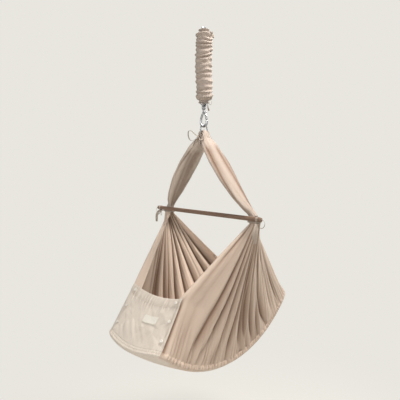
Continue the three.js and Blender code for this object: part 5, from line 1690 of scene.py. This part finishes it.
class CRADLE_OT_bar(CradleOperator):
    """Makes the turned wooden spreader bar with softened ends."""

    bl_idname = "cradle.bar"
    bl_label = "Spreader bar"

    def make(self, chosen):
        half = 250 * MM
        end = [(0, 0), (4.6, 0), (6.2, 0.35), (7.1, 1.1), (7.5, 2.4)]
        profile = [(radius * MM, -half + inward * MM) for radius, inward in end]
        profile += [(BAR_RADIUS, level) for level in np.linspace(-0.96 * half, 0.96 * half, 40)]
        profile += [(radius * MM, half - inward * MM) for radius, inward in reversed(end)]
        bar = Shell().lathe(profile, (0, 0, BAR_Z), Y_TO, 48)
        dress(bar.build("spreader_bar"), finish_of("stained"), "cradle", ["spreader_bar"])


class CRADLE_OT_snaps(CradleOperator):
    """Sets out the moulded snaps on the flap's side edges and the studs behind them."""

    bl_idname = "cradle.snaps"
    bl_label = "Snaps"

    rises = (0.18, 0.55, 0.91)
    insets = ((-1, 11 * MM), (1, 25 * MM))

    def make(self, chosen):
        seats = [(side * (1 - inset / FLAP_TOP_HALF), up) for side, inset in self.insets for up in self.rises]
        q, up = np.array(seats).T
        spread = np.array([-0.02, 0, 0.02])
        grid_q = q[:, None, None] + spread[None, None, :] + 0 * spread[None, :, None]
        grid_up = up[:, None, None] + spread[None, :, None] + 0 * spread[None, None, :]
        centres, facings = [], []
        for patch_q, patch_up in zip(grid_q, grid_up):
            middle = foot_middle(patch_q, patch_up)
            facings.append(surface_normals(middle, point(-np.ones_like(patch_q), 0, 0))[1, 1])
            centres.append(middle[1, 1])
        centres, facings = np.array(centres), np.array(facings)
        cap = [(0, 1.5), (2.0, 1.5), (2.5, 2.0), (3.6, 2.0), (4.7, 1.4), (5.2, 0.7), (5.1, 0.0), (0, 0.0)]
        stud = [(0, 1.5), (2.2, 1.5), (2.6, 0.9), (5.4, 0.8), (6.0, 0.4), (5.9, 0.0), (0, 0.0)]
        lift = np.array([self.height_at(a, b) for a, b in seats])[:, None]
        names = [f"snap_cap_{number + 1}" for number in range(len(seats))]
        self.scatter("snap_caps", centres + facings * lift, facings, cap, "flap", names)
        names = [name.replace("cap", "stud") for name in names]
        self.scatter("snap_studs", centres - facings * 2.2 * MM, -facings, stud, "cradle", names)

    def height_at(self, q, up):
        """How high the flap's cloth stands over the panels' middle at a snap."""
        around_q, around_up = np.meshgrid(q + np.linspace(-0.04, 0.04, 5), up + np.linspace(-0.04, 0.04, 5))
        face = CRADLE_OT_flap.face(around_q, around_up)
        cloth = foot_middle(CRADLE_OT_flap.pulled(around_q, around_up), around_up)
        return np.linalg.norm(face - cloth, axis=-1).max() + 1.2 * MM

    def scatter(self, name, places, facings, profile, body, nodes):
        template = Shell().lathe([(r * MM, z * MM) for r, z in profile], sides=28).build(name + "_shape")
        line = bpy.data.meshes.new(name)
        line.from_pydata(places.tolist(), [], [])
        facing = line.attributes.new("facing", "FLOAT_VECTOR", "POINT")
        facing.data.foreach_set("vector", facings.astype(np.float32).ravel())
        made = linked(name, line)
        tree = scatter_tree("Snap row", {"Shape": "NodeSocketObject"}, "snap_resin", snap_parts)
        scatter_on(made, tree, {"Shape": template})
        bpy.data.objects.remove(template)
        round_off(made.data)
        dress(made, finish_of("snap_resin"), body, nodes)


class CRADLE_OT_mattress(CradleOperator):
    """Makes the mattress: a pad swollen by cloth simulation, with a rolled edge."""

    bl_idname = "cradle.mattress"
    bl_label = "Mattress"

    low = 4.5 * MM
    thick = 30 * MM
    inset = 9 * MM

    def make(self, chosen):
        half = np.linspace(0, OUTLINE_RUN, 141)
        distance = np.concatenate([half, -half[-2:0:-1]])
        edge = [(9.0, 0.0), (3.0, 1.2), (0.4, 5.0), (0.0, 12.0)]
        edge += [(0.0, 19.0), (0.6, 24.0), (4.0, 28.4), (12.0, 30.0)]
        rows = []
        for share in np.linspace(0.03, 0.97, 16):
            rows.append(self.face_row(distance, share, 0.0))
        for inward, height in edge:
            rows.append(rim_point(distance, self.inset + inward * MM, self.low + height * MM, 1))
        for share in np.linspace(0.96, 0.03, 22):
            rows.append(self.face_row(distance, share, self.thick))
        shell = Shell().grid(np.array(rows), round_columns=True)
        last = shell.count - len(distance)
        shell.faces.append(list(range(len(distance))))
        shell.faces.append([last + i for i in range(len(distance))])
        made = shell.build("mattress")
        self.swell(made)
        dress(made, finish_of("ticking"), "cradle", ["mattress"])
        for name, height in (("mattress_edge_low", 5.0), ("mattress_edge_high", 25.0)):
            path = rim_point(distance, self.inset - 0.4 * MM, self.low + height * MM, 1)
            roll = Shell().tube(np.concatenate([path, path[:1]]), 1.4 * MM, 10, capped=False).build(name)
            dress(roll, finish_of("ticking"), "cradle")

    def face_row(self, distance, share, height):
        along, across = outline(np.abs(distance), self.inset + 10 * MM)
        across = across * np.where(distance < 0, -1, 1)
        crown = 3 * MM * (1 - share**2) if height > 0 else 0.0
        return base_point(along * share, across * share, self.low + height + crown)

    def swell(self, made):
        """Remeshes the pad evenly and lets its cloth fill out, moving no point far."""
        remesh = made.modifiers.new("Even mesh", "REMESH")
        remesh.mode = "VOXEL"
        remesh.voxel_size = 6 * MM
        settle(made)
        count = len(made.data.vertices)
        before = np.zeros(count * 3)
        made.data.vertices.foreach_get("co", before)
        cloth = made.modifiers.new("Pad", "CLOTH")
        cloth.settings.use_pressure = True
        cloth.settings.uniform_pressure_force = 4
        cloth.settings.quality = 5
        cloth.settings.effector_weights.gravity = 0
        scene = bpy.context.scene
        for step in range(1, 21):
            scene.frame_set(step)
        settle(made)
        scene.frame_set(1)
        after = np.zeros(count * 3)
        made.data.vertices.foreach_get("co", after)
        moved = (after - before).reshape(-1, 3)
        length = np.linalg.norm(moved, axis=1, keepdims=True)
        cap = 2.2 * MM
        moved = moved * np.minimum(1, cap / np.maximum(length, 1e-9))
        made.data.vertices.foreach_set("co", (before + moved.ravel()))
        finer = made.modifiers.new("Finer", "SUBSURF")
        finer.levels = 1
        finer.render_levels = 1
        settle(made)
        round_off(made.data)


def register():
    for kind in CLASSES:
        bpy.utils.register_class(kind)
    bpy.types.Scene.cradle = bpy.props.PointerProperty(type=CradleSettings)


def unregister():
    del bpy.types.Scene.cradle
    for kind in reversed(CLASSES):
        bpy.utils.unregister_class(kind)


OPERATORS = [
    CRADLE_OT_stage,
    CRADLE_OT_panels,
    CRADLE_OT_base,
    CRADLE_OT_head,
    CRADLE_OT_flap,
    CRADLE_OT_cover,
    CRADLE_OT_spring,
    CRADLE_OT_straps,
    CRADLE_OT_metal,
    CRADLE_OT_ribbons,
    CRADLE_OT_bar,
    CRADLE_OT_snaps,
    CRADLE_OT_mattress,
]


class CRADLE_PT_sidebar(bpy.types.Panel):
    """Lists the cradle's groups of pieces and their sizes and colours."""

    bl_label = "Cradle"
    bl_space_type = "VIEW_3D"
    bl_region_type = "UI"
    bl_category = "Cradle"

    def draw(self, context):
        for name in CradleSettings.__annotations__:
            self.layout.prop(context.scene.cradle, name)
        for kind in OPERATORS:
            self.layout.operator(kind.bl_idname)


CLASSES = [CradleSettings, *OPERATORS, CRADLE_PT_sidebar]


def main():
    register()
    for kind in OPERATORS:
        group, name = kind.bl_idname.split(".")
        getattr(getattr(bpy.ops, group), name)()


if __name__ == "__main__":
    main()
